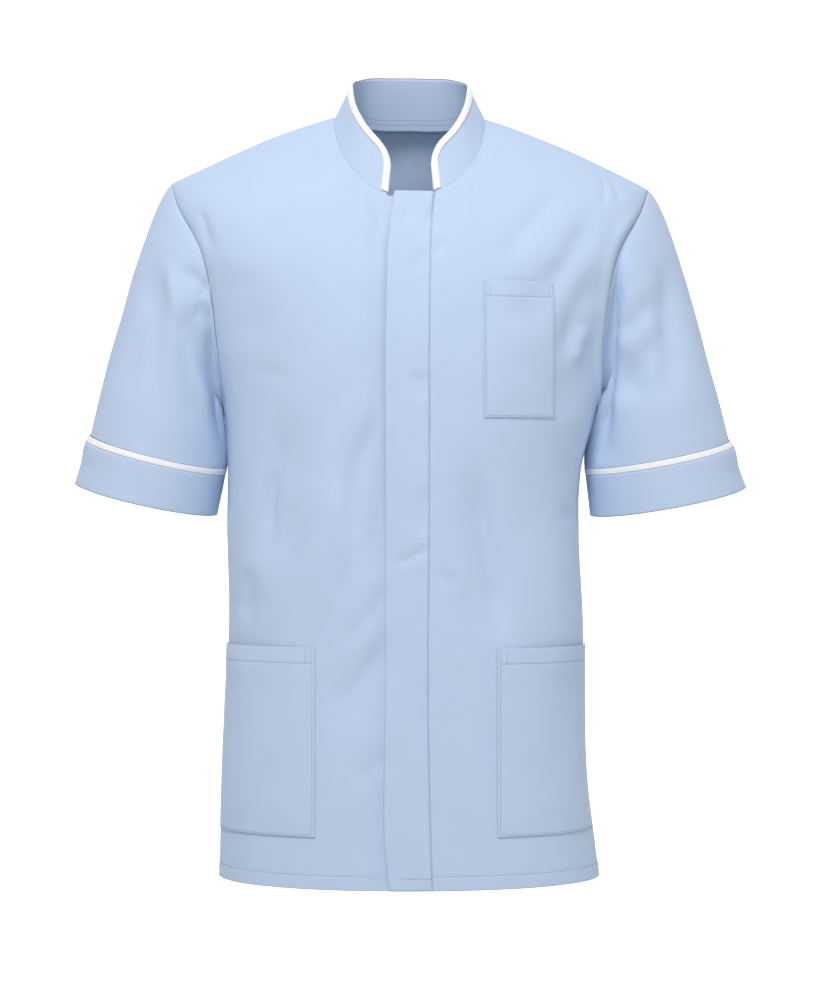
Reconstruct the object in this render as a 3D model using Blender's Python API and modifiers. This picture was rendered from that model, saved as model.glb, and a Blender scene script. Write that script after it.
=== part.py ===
"""A short-sleeved healthcare tunic with a stand collar, filled out as it is worn, and hollow.

Metres, +Z up. The origin is the middle of the neck, level with the points where the shoulder
seams reach the collar. The front faces -Y, and +X is the wearer's left.

Every body panel is cut from one smooth worn form. A place on the form has an angle round it
(0 at the middle front, 90 degrees at the wearer's left side, 180 at the middle back) and a
height, which is the distance up the middle front from the hem. The sleeves start from the
armholes' own points, the collar from the neckline's, and the pockets from the fronts'.
"""

import bmesh
import bpy
import numpy as np
from mathutils.bvhtree import BVHTree

# Cloth
WALL = 0.0012  # a panel's thickness
COLLAR_WALL = 0.0014  # two layers and a stiffening
TRIM_WALL = 0.0010
SEAM_GAP = 0.0003  # between two panels' edges
TIP_GAP = 0.0010  # more at a shoulder's tip, where three panels meet
LAY_GAP = 0.0003  # between a panel and what lies on it

# Colours, as linear red, green and blue
BLUE = (0.50, 0.63, 0.83, 1.0)
PALE_BLUE = (0.56, 0.68, 0.87, 1.0)
SHADE_BLUE = (0.44, 0.57, 0.76, 1.0)
WHITE = (0.86, 0.89, 0.94, 1.0)


def columns_of(names, rows):
    """The columns of a table's rows, as arrays by name."""
    return dict(zip(names.split(), (np.array(column) for column in zip(*rows))))


# The worn form's levels, from the hem up to the shoulder ridge: height and depth of the middle
# in front and at the back, height of the side, half width, where the level's middle lies,
# how square the section is, and how much higher the wearer's left end is than its middle.
FORM = columns_of(
    "front_z front_y back_z back_y side_z half_width middle_x square lean",
    (
        (-0.7645, -0.134, -0.7650, 0.126, -0.7620, 0.1898, -0.0008, 2.5, 0.0),  # hem
        (-0.6600, -0.131, -0.6600, 0.121, -0.6600, 0.1820, -0.0055, 2.5, 0.0),  # lower pockets
        (-0.5000, -0.128, -0.5000, 0.118, -0.5000, 0.1765, -0.0045, 2.5, 0.0),  # waist
        (-0.4200, -0.129, -0.4200, 0.121, -0.4200, 0.1755, -0.0070, 2.4, 0.0),  # low chest
        (-0.3600, -0.130, -0.3600, 0.126, -0.3600, 0.1765, -0.0055, 2.4, 0.0),  # below the arm
        (-0.3000, -0.130, -0.3000, 0.130, -0.3000, 0.1865, 0.0000, 2.4, 0.0),  # underarm
        (-0.2200, -0.127, -0.2150, 0.131, -0.2150, 0.2045, 0.0000, 2.5, 0.0),  # chest
        (-0.1550, -0.115, -0.1450, 0.124, -0.1500, 0.2215, 0.0000, 2.8, 0.0),  # upper chest
        (-0.0905, -0.088, -0.0750, 0.104, -0.1050, 0.2345, 0.0000, 3.0, -0.001),  # neck pit
        (-0.0300, -0.047, -0.0110, 0.072, -0.0820, 0.2385, 0.0000, 3.0, -0.002),  # nape
        (0.0080, 0.003, 0.0080, 0.003, -0.0755, 0.2385, 0.0000, 3.0, -0.003),  # ridge
    ),
)
SHOULDER_SLOPE = 1.5  # power by which a level bends down towards its side

# The armhole seam from the underarm up to the shoulder's tip: height of the point, and its
# angle on the front and on the back.
UNDERARM_Z = -0.300
ARMHOLE = columns_of(
    "z front_angle back_angle",
    (
        (-0.2960, 83.0, 83.0),
        (-0.2820, 76.5, 77.0),
        (-0.2550, 70.5, 71.5),
        (-0.2200, 65.0, 67.5),
        (-0.1850, 60.2, 65.0),
        (-0.1520, 58.0, 64.0),
        (-0.1280, 60.2, 65.0),
        (-0.1060, 66.0, 68.5),
        (-0.0880, 73.0, 74.5),
    ),
)
SIDE_SEAM_ANGLE = 74.0  # at the hem: the seam runs a little forward, and reaches 90 at the underarm

# Neck
NECK_HALF_WIDTH = 0.0757
NECK_SQUARE = 2.3  # how square the front neckline is
NECK_PIT = 8  # the form's level at the neckline's middle front
NAPE = 9  # and at its middle back

# The placket from its top down: height, folded edge, stitched edge
PLACKET = columns_of(
    "z folded_x stitched_x",
    (
        (-0.7645, -0.0195, 0.0225),
        (-0.7350, -0.0230, 0.0215),
        (-0.6000, -0.0237, 0.0185),
        (-0.4000, -0.0237, 0.0195),
        (-0.2000, -0.0230, 0.0200),
        (-0.1300, -0.0205, 0.0213),
        (-0.0870, -0.0155, 0.0236),
    ),
)
PLACKET_TOP_Z = -0.0870
PLACKET_COLUMNS = 3
UNDER_PLACKET_X = 0.012  # how far the right front runs on beneath the placket
STEP_FROM_X, STEP_TO_X = -0.030, -0.046  # where the right front comes out from under it
STEP_DEPTH = WALL + 0.0013
STEP_COLUMNS = (0.0, 0.022, 0.042, 0.058)  # the right front's first columns, from its edge

# Collar
COLLAR_LEFT_X, COLLAR_RIGHT_X = 0.0245, -0.0224  # its two front edges, on the neckline
COLLAR_HEIGHT = columns_of(
    "angle height lean",
    (
        (0, 0.0480, 0.28),
        (45, 0.0475, 0.34),
        (90, 0.0350, 0.47),
        (120, 0.0420, 0.34),
        (150, 0.0515, 0.20),
        (180, 0.0525, 0.17),
    ),
)
COLLAR_MIDDLE_Y = -0.005
CORNER_RADIUS = 0.0225  # of its rounded front corners
CORNER_STEPS = 4
COLLAR_ROWS = (0.0, 0.35, 0.70, 1.0)
TRIM_WIDTH = 0.0065
TRIM_RISE = 0.0004  # how far the sleeves' trim stands above the cloth

# Sleeves: for each, the ring at the trim's top and the ring at the cuff's edge, with half
# widths across and front to back, and how far the outer end is tilted up, in degrees.
CUFF_RINGS = {
    "left": columns_of(
        "x y z half_width half_depth tilt",
        (
            (0.2470, 0.000, -0.3430, 0.0735, 0.061, 10.7),
            (0.2588, 0.004, -0.3905, 0.0790, 0.063, 10.4),
        ),
    ),
    "right": columns_of(
        "x y z half_width half_depth tilt",
        (
            (-0.2515, 0.000, -0.3405, 0.0701, 0.060, 13.8),
            (-0.2645, 0.004, -0.3880, 0.0731, 0.062, 12.6),
        ),
    ),
}
CUFF_DROP = 6.5  # degrees by which a cuff's front edge hangs lower
CUFF_LENGTH = 0.0495  # trim and band together
SLEEVE_TURN = {"top": 0.29, "under": 0.42}  # how slowly a sleeve turns down from its seam
SLEEVE_PUFF = 0.25  # how far it swells forward and back as it leaves the seam
SLEEVE_HANG = 0.4  # how much more upright it comes to its cuff than the cuff itself lies

# Pockets: inner edge, outer edge (None where it runs into the side seam), bottom, top
POCKETS = {
    "pocket_right": ("right", -0.0912, None, -0.7140, -0.5310),
    "pocket_left": ("left", 0.0845, None, -0.7140, -0.5320),
    "pocket_chest": ("left", 0.0716, 0.1410, -0.3090, -0.1770),
}
POCKET_WALL = 0.0010
POCKET_GAP = 0.00035
CHEST_POCKET_GAP = 0.0008
CHEST_POCKET_CELLS = (5, 8)
SEAM_INSET = 0.03  # share of a column by which a pocket stops short of the side seam
MOUTH_STAND_OFF = {"pocket_right": 0.0028, "pocket_left": 0.0022, "pocket_chest": 0.0008}

# The largest soft folds of the body: the face that each lies on, where it runs, how far it bows
# aside, its half width and its depth (below zero for a ridge).
FOLDS = columns_of(
    "face x0 z0 x1 z1 bow half_width depth",
    (
        ("front", -0.112, -0.290, -0.142, -0.480, 0.006, 0.021, 0.0050),
        ("front", -0.150, -0.460, -0.158, -0.560, 0.000, 0.020, 0.0030),
        ("front", -0.040, -0.300, -0.058, -0.500, 0.008, 0.022, 0.0035),
        ("front", -0.085, -0.340, -0.090, -0.520, 0.004, 0.022, -0.0030),
        ("front", -0.030, -0.520, -0.066, -0.620, 0.004, 0.022, 0.0030),
        ("front", 0.060, -0.345, 0.094, -0.540, -0.006, 0.022, 0.0045),
        ("front", 0.150, -0.150, 0.092, -0.230, 0.004, 0.022, 0.0035),
        ("front", 0.176, -0.200, 0.140, -0.320, 0.006, 0.020, 0.0040),
        ("front", 0.130, -0.400, 0.150, -0.580, 0.006, 0.022, -0.0030),
        ("front", -0.172, -0.150, -0.160, -0.250, 0.006, 0.020, 0.0030),
        ("back", -0.120, -0.300, -0.100, -0.560, 0.010, 0.024, 0.0055),
        ("back", 0.125, -0.280, 0.095, -0.540, -0.010, 0.024, 0.0055),
        ("back", -0.040, -0.420, -0.055, -0.700, 0.006, 0.024, 0.0040),
        ("back", 0.045, -0.440, 0.040, -0.690, -0.004, 0.024, 0.0045),
        ("back", 0.000, -0.180, 0.005, -0.420, 0.004, 0.026, -0.0035),
        ("back", -0.165, -0.200, -0.110, -0.280, 0.004, 0.022, 0.0045),
        ("back", 0.165, -0.190, 0.112, -0.270, -0.004, 0.022, 0.0045),
    ),
)

# The sleeves' largest folds: share of the way round from the top over the front (0 to 1) and
# share of the way down at each end, half width and depth.
SLEEVE_FOLDS = {
    "left": columns_of(
        "round0 down0 round1 down1 half_width depth",
        (
            (0.10, 0.30, 0.17, 0.80, 0.050, 0.0040),
            (0.36, 0.25, 0.24, 0.75, 0.050, 0.0040),
            (0.70, 0.20, 0.78, 0.80, 0.055, 0.0045),
        ),
    ),
    "right": columns_of(
        "round0 down0 round1 down1 half_width depth",
        (
            (0.10, 0.30, 0.13, 0.85, 0.045, 0.0035),
            (0.22, 0.35, 0.38, 0.80, 0.050, 0.0045),
            (0.68, 0.20, 0.80, 0.80, 0.055, 0.0045),
        ),
    ),
}

# Grid steps
ROWS_TO_UNDERARM = 16
ROWS_OF_ARMHOLE = 14
NECK_STEPS = 7  # along the neckline from a collar's front edge to the shoulder seam
NAPE_STEPS = 14  # along the neckline across the back
FRONT_COLUMNS = 13
BACK_SIDE_COLUMNS = 7  # between the side and the shoulder seam's inner end
SLEEVE_ROWS = (0.0, 0.02, 0.09, 0.19, 0.31, 0.44, 0.58, 0.72, 0.86, 1.0)
RING_PROBES = 181  # places measured round half of a level
SEAM_LINE = 0.85  # share of the last step at which a line lies close inside a seam


# ---- The worn form -------------------------------------------------------------------------

FRONT_STEPS = np.hypot(np.diff(FORM["front_y"]), np.diff(FORM["front_z"]))
HEIGHTS = np.concatenate([[0.0], np.cumsum(FRONT_STEPS)])
RIDGE = HEIGHTS[-1]
OVER = np.concatenate([HEIGHTS, 2 * RIDGE - HEIGHTS[-2::-1]])  # up the front, down the back


def over_the_shoulder(front, back):
    return np.concatenate([front, back[-2::-1]])


PATH = {
    "y": over_the_shoulder(FORM["front_y"], FORM["back_y"]),
    "z": over_the_shoulder(FORM["front_z"], FORM["back_z"]),
    **{
        name: over_the_shoulder(FORM[name], FORM[name])
        for name in ("side_z", "half_width", "middle_x", "square", "lean")
    },
}


def smooth(at, knots, values):
    """A smooth curve through the values at the knots (Catmull-Rom), read at these places."""
    slopes = np.gradient(values, knots)
    i = np.clip(np.searchsorted(knots, at, side="right") - 1, 0, len(knots) - 2)
    step = knots[i + 1] - knots[i]
    t = (at - knots[i]) / step
    start = (1 + 2 * t) * (1 - t) ** 2 * values[i] + t * (1 - t) ** 2 * step * slopes[i]
    end = t**2 * (3 - 2 * t) * values[i + 1] - t**2 * (1 - t) * step * slopes[i + 1]
    return start + end


def blend(low, high, value):
    """0 at low and below, 1 at high and beyond, with soft ends."""
    t = np.clip((value - low) / (high - low), 0, 1)
    return t * t * (3 - 2 * t)


def measures(angle, height):
    path = np.where(np.cos(angle) >= 0, height, 2 * RIDGE - height)
    return {name: smooth(path, OVER, values) for name, values in PATH.items()}


def on_form(angle, height):
    """The form's points at these angles (radians) and heights."""
    angle, height = np.broadcast_arrays(np.asarray(angle, float), np.asarray(height, float))
    at = measures(angle, height)
    sine, cosine = np.sin(angle), np.abs(np.cos(angle))
    power = at["square"]
    reach = (np.abs(sine) ** power + cosine**power) ** (-1 / power)
    across = reach * sine
    x = at["middle_x"] + at["half_width"] * across
    y = at["y"] * reach * cosine
    drop = (at["side_z"] - at["z"]) * np.abs(across) ** SHOULDER_SLOPE
    return np.stack([x, y, at["z"] + drop + at["lean"] * across], axis=-1)


def outward(angle, height):
    """The form's unit normals, which point out of the garment."""
    small = 1e-3
    round_it = on_form(angle + small, height) - on_form(angle - small, height)
    lower, upper = np.clip(height - small, 0, RIDGE), np.clip(height + small, 0, RIDGE)
    up_it = on_form(angle, upper) - on_form(angle, lower)
    normal = np.cross(round_it, up_it)
    length = np.linalg.norm(normal, axis=-1, keepdims=True)
    return normal / np.maximum(length, 1e-12)


def angle_of_x(x, height, back=False):
    """The angle on the front, or on the back, at which a level reaches this x."""
    at = measures(np.full(np.shape(height), np.pi if back else 0.0), height)
    across = np.clip((x - at["middle_x"]) / at["half_width"], -1, 1)
    depth = (1 - np.abs(across) ** at["square"]) ** (1 / at["square"])
    angle = np.arctan2(across, depth)
    return np.pi - angle if back else angle


def height_where(z_of_height, z):
    """The height at which a rising function reaches each z."""
    low, high = np.zeros(np.shape(z)), np.full(np.shape(z), RIDGE)
    for _ in range(40):
        middle = (low + high) / 2
        below = z_of_height(middle) < z
        low, high = np.where(below, middle, low), np.where(below, high, middle)
    return (low + high) / 2


def way_round(angle, height, start=0.0):
    """The distance round a level from the angle start, the middle front, to an angle."""
    angle, height = np.asarray(angle)[..., None], np.asarray(height)[..., None]
    ring = start + np.linspace(0, 1, RING_PROBES) * (angle - start)
    return np.linalg.norm(np.diff(on_form(ring, height), axis=-2), axis=-1).sum(axis=-1)


def angle_at_way(way, height, back=False):
    """The angle this far round a level from its middle front or back, to the left if above 0."""
    ring = np.where(way < 0, -1.0, 1.0)[..., None] * np.linspace(0, np.pi, RING_PROBES)
    ring = np.pi - ring if back else ring
    steps = np.linalg.norm(np.diff(on_form(ring, height[..., None]), axis=-2), axis=-1)
    ways = np.insert(np.cumsum(steps, axis=-1), 0, 0.0, axis=-1)
    rows = zip(np.abs(way).ravel(), ways.reshape(-1, RING_PROBES), ring.reshape(-1, RING_PROBES))
    return np.reshape([np.interp(w, row, turn) for w, row, turn in rows], np.shape(way))


def front_z(height):
    """How high the form's middle front is, at these heights."""
    return on_form(0.0, height)[..., 2]


# ---- Folds ---------------------------------------------------------------------------------


def fold_depth(along, aside, half_width, depth):
    """A soft trough: deepest along its middle, and running out at both ends."""
    run = blend(0.0, 0.35, along) * blend(0.0, 0.35, 1 - along)
    return -depth * run * np.exp(-((aside / half_width) ** 2))


def folded(points, normals, face):
    """The body's points, moved in and out by the folds on this face."""
    moved = np.zeros(points.shape[:-1])
    for i in np.flatnonzero(FOLDS["face"] == face):
        start = np.array([FOLDS["x0"][i], FOLDS["z0"][i]])
        run = np.array([FOLDS["x1"][i], FOLDS["z1"][i]]) - start
        length = np.linalg.norm(run)
        ahead = run / length
        offset = points[..., [0, 2]] - start
        along = offset @ ahead / length
        bow = FOLDS["bow"][i] * np.sin(np.pi * np.clip(along, 0, 1))
        aside = offset @ np.array([-ahead[1], ahead[0]]) - bow
        moved += fold_depth(along, aside, FOLDS["half_width"][i], FOLDS["depth"][i])
    return points + moved[..., None] * normals


# ---- Seams ---------------------------------------------------------------------------------


def ways_along(points):
    """The distance along a line of points to each of them."""
    return np.insert(np.cumsum(np.linalg.norm(np.diff(points, axis=0), axis=1)), 0, 0.0)


def even_shares(points, count):
    """Shares of a fine line of points that part it into equal lengths."""
    ways = ways_along(points)
    return np.interp(np.linspace(0, ways[-1], count + 1), ways, np.linspace(0, 1, len(ways)))


UNDERARM = height_where(lambda h: on_form(np.pi / 2, h)[..., 2], np.array(UNDERARM_Z))
SIDE_HEIGHTS = np.linspace(0, UNDERARM, ROWS_TO_UNDERARM + 1)
FINE = np.linspace(0, 1, 400)


def side_seam(height):
    """The left side seam's angle at these heights, from the hem to the underarm."""
    return np.radians(90 - (90 - SIDE_SEAM_ANGLE) * (1 - height / UNDERARM) ** 1.2)


def armhole(face):
    """Angles and heights of the left armhole on one face, underarm to tip, at equal lengths."""
    turn = np.radians(ARMHOLE[face + "_angle"])
    turn = turn if face == "front" else np.pi - turn
    height = height_where(lambda h: on_form(turn, h)[..., 2], ARMHOLE["z"])
    turn = np.concatenate([[np.pi / 2], turn, [np.pi / 2]])
    height = np.concatenate([[UNDERARM], height, [RIDGE]])
    knots = ways_along(np.stack([turn * np.mean(FORM["half_width"]), height], axis=-1))

    def at(share):
        return smooth(share * knots[-1], knots, turn), smooth(share * knots[-1], knots, height)

    return at(even_shares(on_form(*at(FINE)), ROWS_OF_ARMHOLE))


def neckline_front(start_x):
    """x and height of the front neckline's places, from start_x to the shoulder seam."""
    start = np.arcsin((abs(start_x) / NECK_HALF_WIDTH) ** (NECK_SQUARE / 2))

    def at(share):
        turn = start + share * (np.pi / 2 - start)
        x = NECK_HALF_WIDTH * np.sin(turn) ** (2 / NECK_SQUARE)
        drop = np.clip(np.cos(turn), 0, 1) ** (2 / NECK_SQUARE)
        return np.sign(start_x) * x, RIDGE - (RIDGE - HEIGHTS[NECK_PIT]) * drop

    x, height = at(FINE)
    return at(even_shares(on_form(angle_of_x(x, height), height), NECK_STEPS))


def neckline_back():
    """x and height of the back neckline's places, from the left shoulder seam to the right."""

    def at(share):
        x = NECK_HALF_WIDTH * np.cos(np.pi * share)
        return x, RIDGE - (RIDGE - HEIGHTS[NAPE]) * np.sin(np.pi * share)

    x, height = at(FINE)
    return at(even_shares(on_form(angle_of_x(x, height, back=True), height), NAPE_STEPS))


def with_seam_lines(grid, sides):
    """The grid with one more line close inside each of these edges, so its wall ends square."""
    grid = np.asarray(grid)
    if "t" in sides:
        close = grid[-2] + SEAM_LINE * (grid[-1] - grid[-2])
        grid = np.concatenate([grid[:-1], close[None], grid[-1:]])
    if "r" in sides:
        close = grid[:, -2:-1] + SEAM_LINE * (grid[:, -1:] - grid[:, -2:-1])
        grid = np.concatenate([grid[:, :-1], close, grid[:, -1:]], axis=1)
    if "l" in sides:
        close = grid[:, 1:2] + SEAM_LINE * (grid[:, :1] - grid[:, 1:2])
        grid = np.concatenate([grid[:, :1], close, grid[:, 1:]], axis=1)
    return grid


def drawn_in(grid, sides, gap=SEAM_GAP / 2):
    """The grid with its left, right or top points drawn in by half of a seam's gap."""
    grid = grid.copy()
    for side, edge, inner in (
        ("l", np.s_[:, 0], np.s_[:, 1]),
        ("r", np.s_[:, -1], np.s_[:, -2]),
        ("t", np.s_[-1], np.s_[-2]),
    ):
        if side in sides:
            step = grid[inner] - grid[edge]
            drawn = 2 * gap if side == "t" else gap
            grid[edge] += drawn * step / np.linalg.norm(step, axis=-1, keepdims=True)
    for side, corner, inner in (
        ("l", np.s_[-1, 0], np.s_[-2, 0]),
        ("r", np.s_[-1, -1], np.s_[-2, -1]),
    ):
        if side in sides:
            step = grid[inner] - grid[corner]
            grid[corner] += TIP_GAP * step / np.linalg.norm(step)
    return grid


# ---- Objects -------------------------------------------------------------------------------


def clear_scene():
    for obj in list(bpy.data.objects):
        bpy.data.objects.remove(obj)


def tunic_collection():
    collection = bpy.data.collections.new("Medical tunic")
    bpy.context.scene.collection.children.link(collection)
    return collection


def cloth_material(name, colour):
    material = bpy.data.materials.new(name)
    material.use_nodes = True
    shader = material.node_tree.nodes["Principled BSDF"]
    shader.inputs["Base Color"].default_value = colour
    shader.inputs["Roughness"].default_value = 0.85
    shader.inputs["Metallic"].default_value = 0.0
    return material


def shell(name, grid, colour, wall=WALL, ring=False, turned=False, grows_out=False):
    """A cloth wall through a grid of points: a loft of its rows, thickened by Solidify."""
    rows, columns = grid.shape[:2]
    loft = bmesh.new()
    points = [[loft.verts.new(point) for point in row] for row in grid]
    for i in range(rows - 1):
        for j in range(columns if ring else columns - 1):
            k = (j + 1) % columns
            near, far = points[i], points[i + 1]
            for corners in ((near[j], near[k], far[k]), (near[j], far[k], far[j])):
                loft.faces.new(corners[::-1] if turned else corners)
    mesh = bpy.data.meshes.new(name)
    loft.to_mesh(mesh)
    loft.free()
    mesh.shade_smooth()
    mesh.materials.append(cloth_material(name + " cloth", colour))
    obj = bpy.data.objects.new(name, mesh)
    bpy.data.collections["Medical tunic"].objects.link(obj)
    solid = obj.modifiers.new("Cloth wall", "SOLIDIFY")
    solid.thickness = wall
    solid.offset = 1.0 if grows_out else -1.0
    return obj


# ---- Fronts, placket and back --------------------------------------------------------------


def front_edge(side):
    """x and height up a front's inner edge, from the hem to the neck and along the neckline."""
    if side == "left":
        neck_x, neck_height = neckline_front(COLLAR_LEFT_X)
        rows = ROWS_OF_ARMHOLE - NECK_STEPS
    else:
        neck_x, neck_height = neckline_front(COLLAR_RIGHT_X)
        neck_x = np.insert(neck_x, 0, UNDER_PLACKET_X)
        neck_height = np.insert(neck_height, 0, neck_height[0])
        rows = ROWS_OF_ARMHOLE - NECK_STEPS - 1
    height = np.append(SIDE_HEIGHTS, np.linspace(UNDERARM, neck_height[0], rows + 1)[1:-1])
    if side == "left":
        x = smooth(front_z(height), PLACKET["z"], PLACKET["stitched_x"]) + 2 * SEAM_GAP
    else:
        x = np.full(len(height), UNDER_PLACKET_X)
    return np.concatenate([x, neck_x]), np.concatenate([height, neck_height])


def front(side):
    """The front's panel. Its grid has rows from the hem up and columns from the centre out."""
    sign = 1 if side == "left" else -1
    x, inner_height = front_edge(side)
    inner_angle = angle_of_x(x, inner_height)
    inner_way = np.sign(inner_angle) * way_round(inner_angle, inner_height)
    hole_angle, hole_height = armhole("front")
    outer_height = np.append(SIDE_HEIGHTS, hole_height[1:])
    outer_angle = sign * np.append(side_seam(SIDE_HEIGHTS), hole_angle[1:])
    outer_way = sign * way_round(outer_angle, outer_height)
    width = (outer_way - inner_way)[:, None]
    near = np.array(STEP_COLUMNS if side == "right" else (0.0,)) / np.abs(width)
    rest = np.linspace(0, 1, FRONT_COLUMNS + 1)[1:]
    share = np.concatenate([near, near[:, -1:] + (1 - near[:, -1:]) * rest], axis=1)
    height = inner_height[:, None] + share * (outer_height - inner_height)[:, None]
    way = with_seam_lines(inner_way[:, None] + share * width, "rt")
    height = with_seam_lines(height, "rt")
    angle = angle_at_way(way, height)
    normals = outward(angle, height)
    points = folded(on_form(angle, height), normals, "front")
    if side == "right":
        step = STEP_DEPTH * blend(STEP_TO_X, STEP_FROM_X, points[..., 0])
        points -= step[..., None] * normals
    shell("front_" + side, drawn_in(points, "rt"), BLUE, turned=side == "right")
    return points, normals


def placket():
    """The folded strip over the centre front, which carries on the left front's surface."""
    top = height_where(front_z, np.array(PLACKET_TOP_Z))
    height = np.append(SIDE_HEIGHTS, np.linspace(UNDERARM, top, ROWS_OF_ARMHOLE - NECK_STEPS)[1:])
    folded_x, stitched_x = (
        smooth(front_z(height), PLACKET["z"], PLACKET[edge]) for edge in ("folded_x", "stitched_x")
    )
    share = np.linspace(0, 1, PLACKET_COLUMNS + 1)
    x = folded_x[:, None] + share * (stitched_x - folded_x)[:, None]
    height = np.repeat(height[:, None], PLACKET_COLUMNS + 1, axis=1)
    angle = angle_of_x(x, height)
    points = folded(on_form(angle, height), outward(angle, height), "front")
    shell("placket", points, PALE_BLUE)


def back():
    """The back, one panel. Its grid has rows from the hem up and columns from left to right."""
    hole_angle, hole_height = armhole("back")
    end_height = np.append(SIDE_HEIGHTS, hole_height[1:])
    end_angle = np.append(side_seam(SIDE_HEIGHTS), hole_angle[1:])
    end_way = way_round(end_angle, end_height, start=np.pi)[:, None]
    neck_x, neck_height = neckline_back()
    neck_angle = angle_of_x(neck_x, neck_height, back=True)
    neck_way = np.sign(neck_x) * way_round(neck_angle, neck_height, start=np.pi)
    rise = np.arange(-ROWS_TO_UNDERARM, ROWS_OF_ARMHOLE + 1)[:, None] / ROWS_OF_ARMHOLE
    rise = np.clip(rise, 0, 1)
    share = NAPE_STEPS / (NAPE_STEPS + 2 * BACK_SIDE_COLUMNS)
    middle = share * np.linspace(1, -1, NAPE_STEPS + 1) * end_way
    middle = middle + rise**2 * (neck_way - middle)
    side_share = np.linspace(0, 1, BACK_SIDE_COLUMNS + 1)[:-1]
    side = end_way + side_share * (middle[:, :1] - end_way)
    way = np.concatenate([side, middle, -side[:, ::-1]], axis=1)
    low = np.minimum(end_height, UNDERARM)[:, None]
    middle_height = low + rise * (neck_height - UNDERARM)
    side_height = end_height[:, None] + side_share * (middle_height[:, :1] - end_height[:, None])
    height = np.concatenate([side_height, middle_height, side_height[:, ::-1]], axis=1)
    height = with_seam_lines(height, "lrt")
    angle = angle_at_way(with_seam_lines(way, "lrt"), height, back=True)
    normals = outward(angle, height)
    points = folded(on_form(angle, height), normals, "back")
    shell("back", drawn_in(points, "lrt"), BLUE)
    return points


# ---- Sleeves -------------------------------------------------------------------------------


def cuff_ring(side, down):
    """A ring of a cuff, from the trim's top (down is 0) to its edge (1), top, front, under."""
    table = CUFF_RINGS[side]
    ring = {name: pair[0] + down * (pair[1] - pair[0]) for name, pair in table.items()}
    sign = 1 if side == "left" else -1
    tilt, drop = np.radians(ring["tilt"]), np.radians(CUFF_DROP)
    turn = np.linspace(0, 2 * np.pi, 2 * ROWS_OF_ARMHOLE + 1)[:-1, None]
    across = np.array([sign * np.cos(tilt), 0.0, np.sin(tilt)])
    forward = np.array([0.0, -np.cos(drop), -np.sin(drop)])
    middle = np.array([ring["x"], ring["y"], ring["z"]])
    sideways = ring["half_width"] * np.cos(turn) * across
    return middle + sideways + ring["half_depth"] * np.sin(turn) * forward


def ring_normals(grid):
    """Unit normals out of a tube whose rows run down from the shoulder."""
    along = np.gradient(grid, axis=0)
    around = np.roll(grid, -1, axis=1) - np.roll(grid, 1, axis=1)
    normals = np.cross(around, along)
    normals /= np.linalg.norm(normals, axis=-1, keepdims=True)
    away = grid - grid.mean(axis=1, keepdims=True)
    return normals * np.sign((normals * away).sum(axis=-1).mean())


def sleeve(side, hole):
    """The sleeve: a tube from the armhole's own points down to the cuff's trim."""
    sign = 1 if side == "left" else -1
    share = np.arange(len(hole)) / len(hole)
    top = (0.5 + 0.5 * np.cos(2 * np.pi * share))[:, None]
    forward = -np.sin(2 * np.pi * share)[:, None]
    hem = cuff_ring(side, 0.0)
    chord = np.linalg.norm(hem - hole, axis=1, keepdims=True)
    out = np.array([sign, 0.0, 0.0])
    under = (1 - top) ** 3
    leave = out * (0.9 - 0.4 * under) + np.array([0.0, SLEEVE_PUFF, 0.0]) * forward
    leave = leave - np.array([0.0, 0.0, 1.0]) * (0.35 + 0.15 * top + 0.5 * under)
    leave /= np.linalg.norm(leave, axis=1, keepdims=True)
    leave *= chord * (SLEEVE_TURN["under"] + (SLEEVE_TURN["top"] - SLEEVE_TURN["under"]) * top)
    arrive = cuff_ring(side, 1.0) - hem
    arrive /= np.linalg.norm(arrive, axis=1, keepdims=True)
    arrive -= np.array([0.0, 0.0, SLEEVE_HANG])
    arrive *= chord / np.linalg.norm(arrive, axis=1, keepdims=True)
    down = np.array(SLEEVE_ROWS)[:, None, None]
    points = (
        (1 + 2 * down) * (1 - down) ** 2 * hole
        + down * (1 - down) ** 2 * leave
        + down**2 * (3 - 2 * down) * hem
        - down**2 * (1 - down) * arrive
    )
    normals = ring_normals(points)
    folds = SLEEVE_FOLDS[side]
    for i in range(len(folds["depth"])):
        run_round = folds["round1"][i] - folds["round0"][i]
        run_down = folds["down1"][i] - folds["down0"][i]
        along = (down[:, :, 0] - folds["down0"][i]) / run_down
        aside = share - folds["round0"][i] - run_round * along
        moved = fold_depth(along, aside, folds["half_width"][i], folds["depth"][i])
        points = points + moved[..., None] * normals
    points[0] += SEAM_GAP * leave / np.linalg.norm(leave, axis=1, keepdims=True)
    shell("sleeve_" + side, points, PALE_BLUE, ring=True, turned=side == "right")


def cuff(side):
    """The flat white trim and the plain band below it."""
    gap = SEAM_GAP / CUFF_LENGTH
    trim_end = TRIM_WIDTH / CUFF_LENGTH
    rows = np.array([cuff_ring(side, down) for down in (gap, trim_end)])
    rows += TRIM_RISE * ring_normals(rows)
    shell("cuff_trim_" + side, rows, WHITE, TRIM_WALL + TRIM_RISE, True, side == "right")
    rows = np.array([cuff_ring(side, down) for down in (trim_end + gap, 0.5, 1.0)])
    shell("cuff_" + side, rows, SHADE_BLUE, WALL, True, side == "right")


# ---- Collar --------------------------------------------------------------------------------


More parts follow.
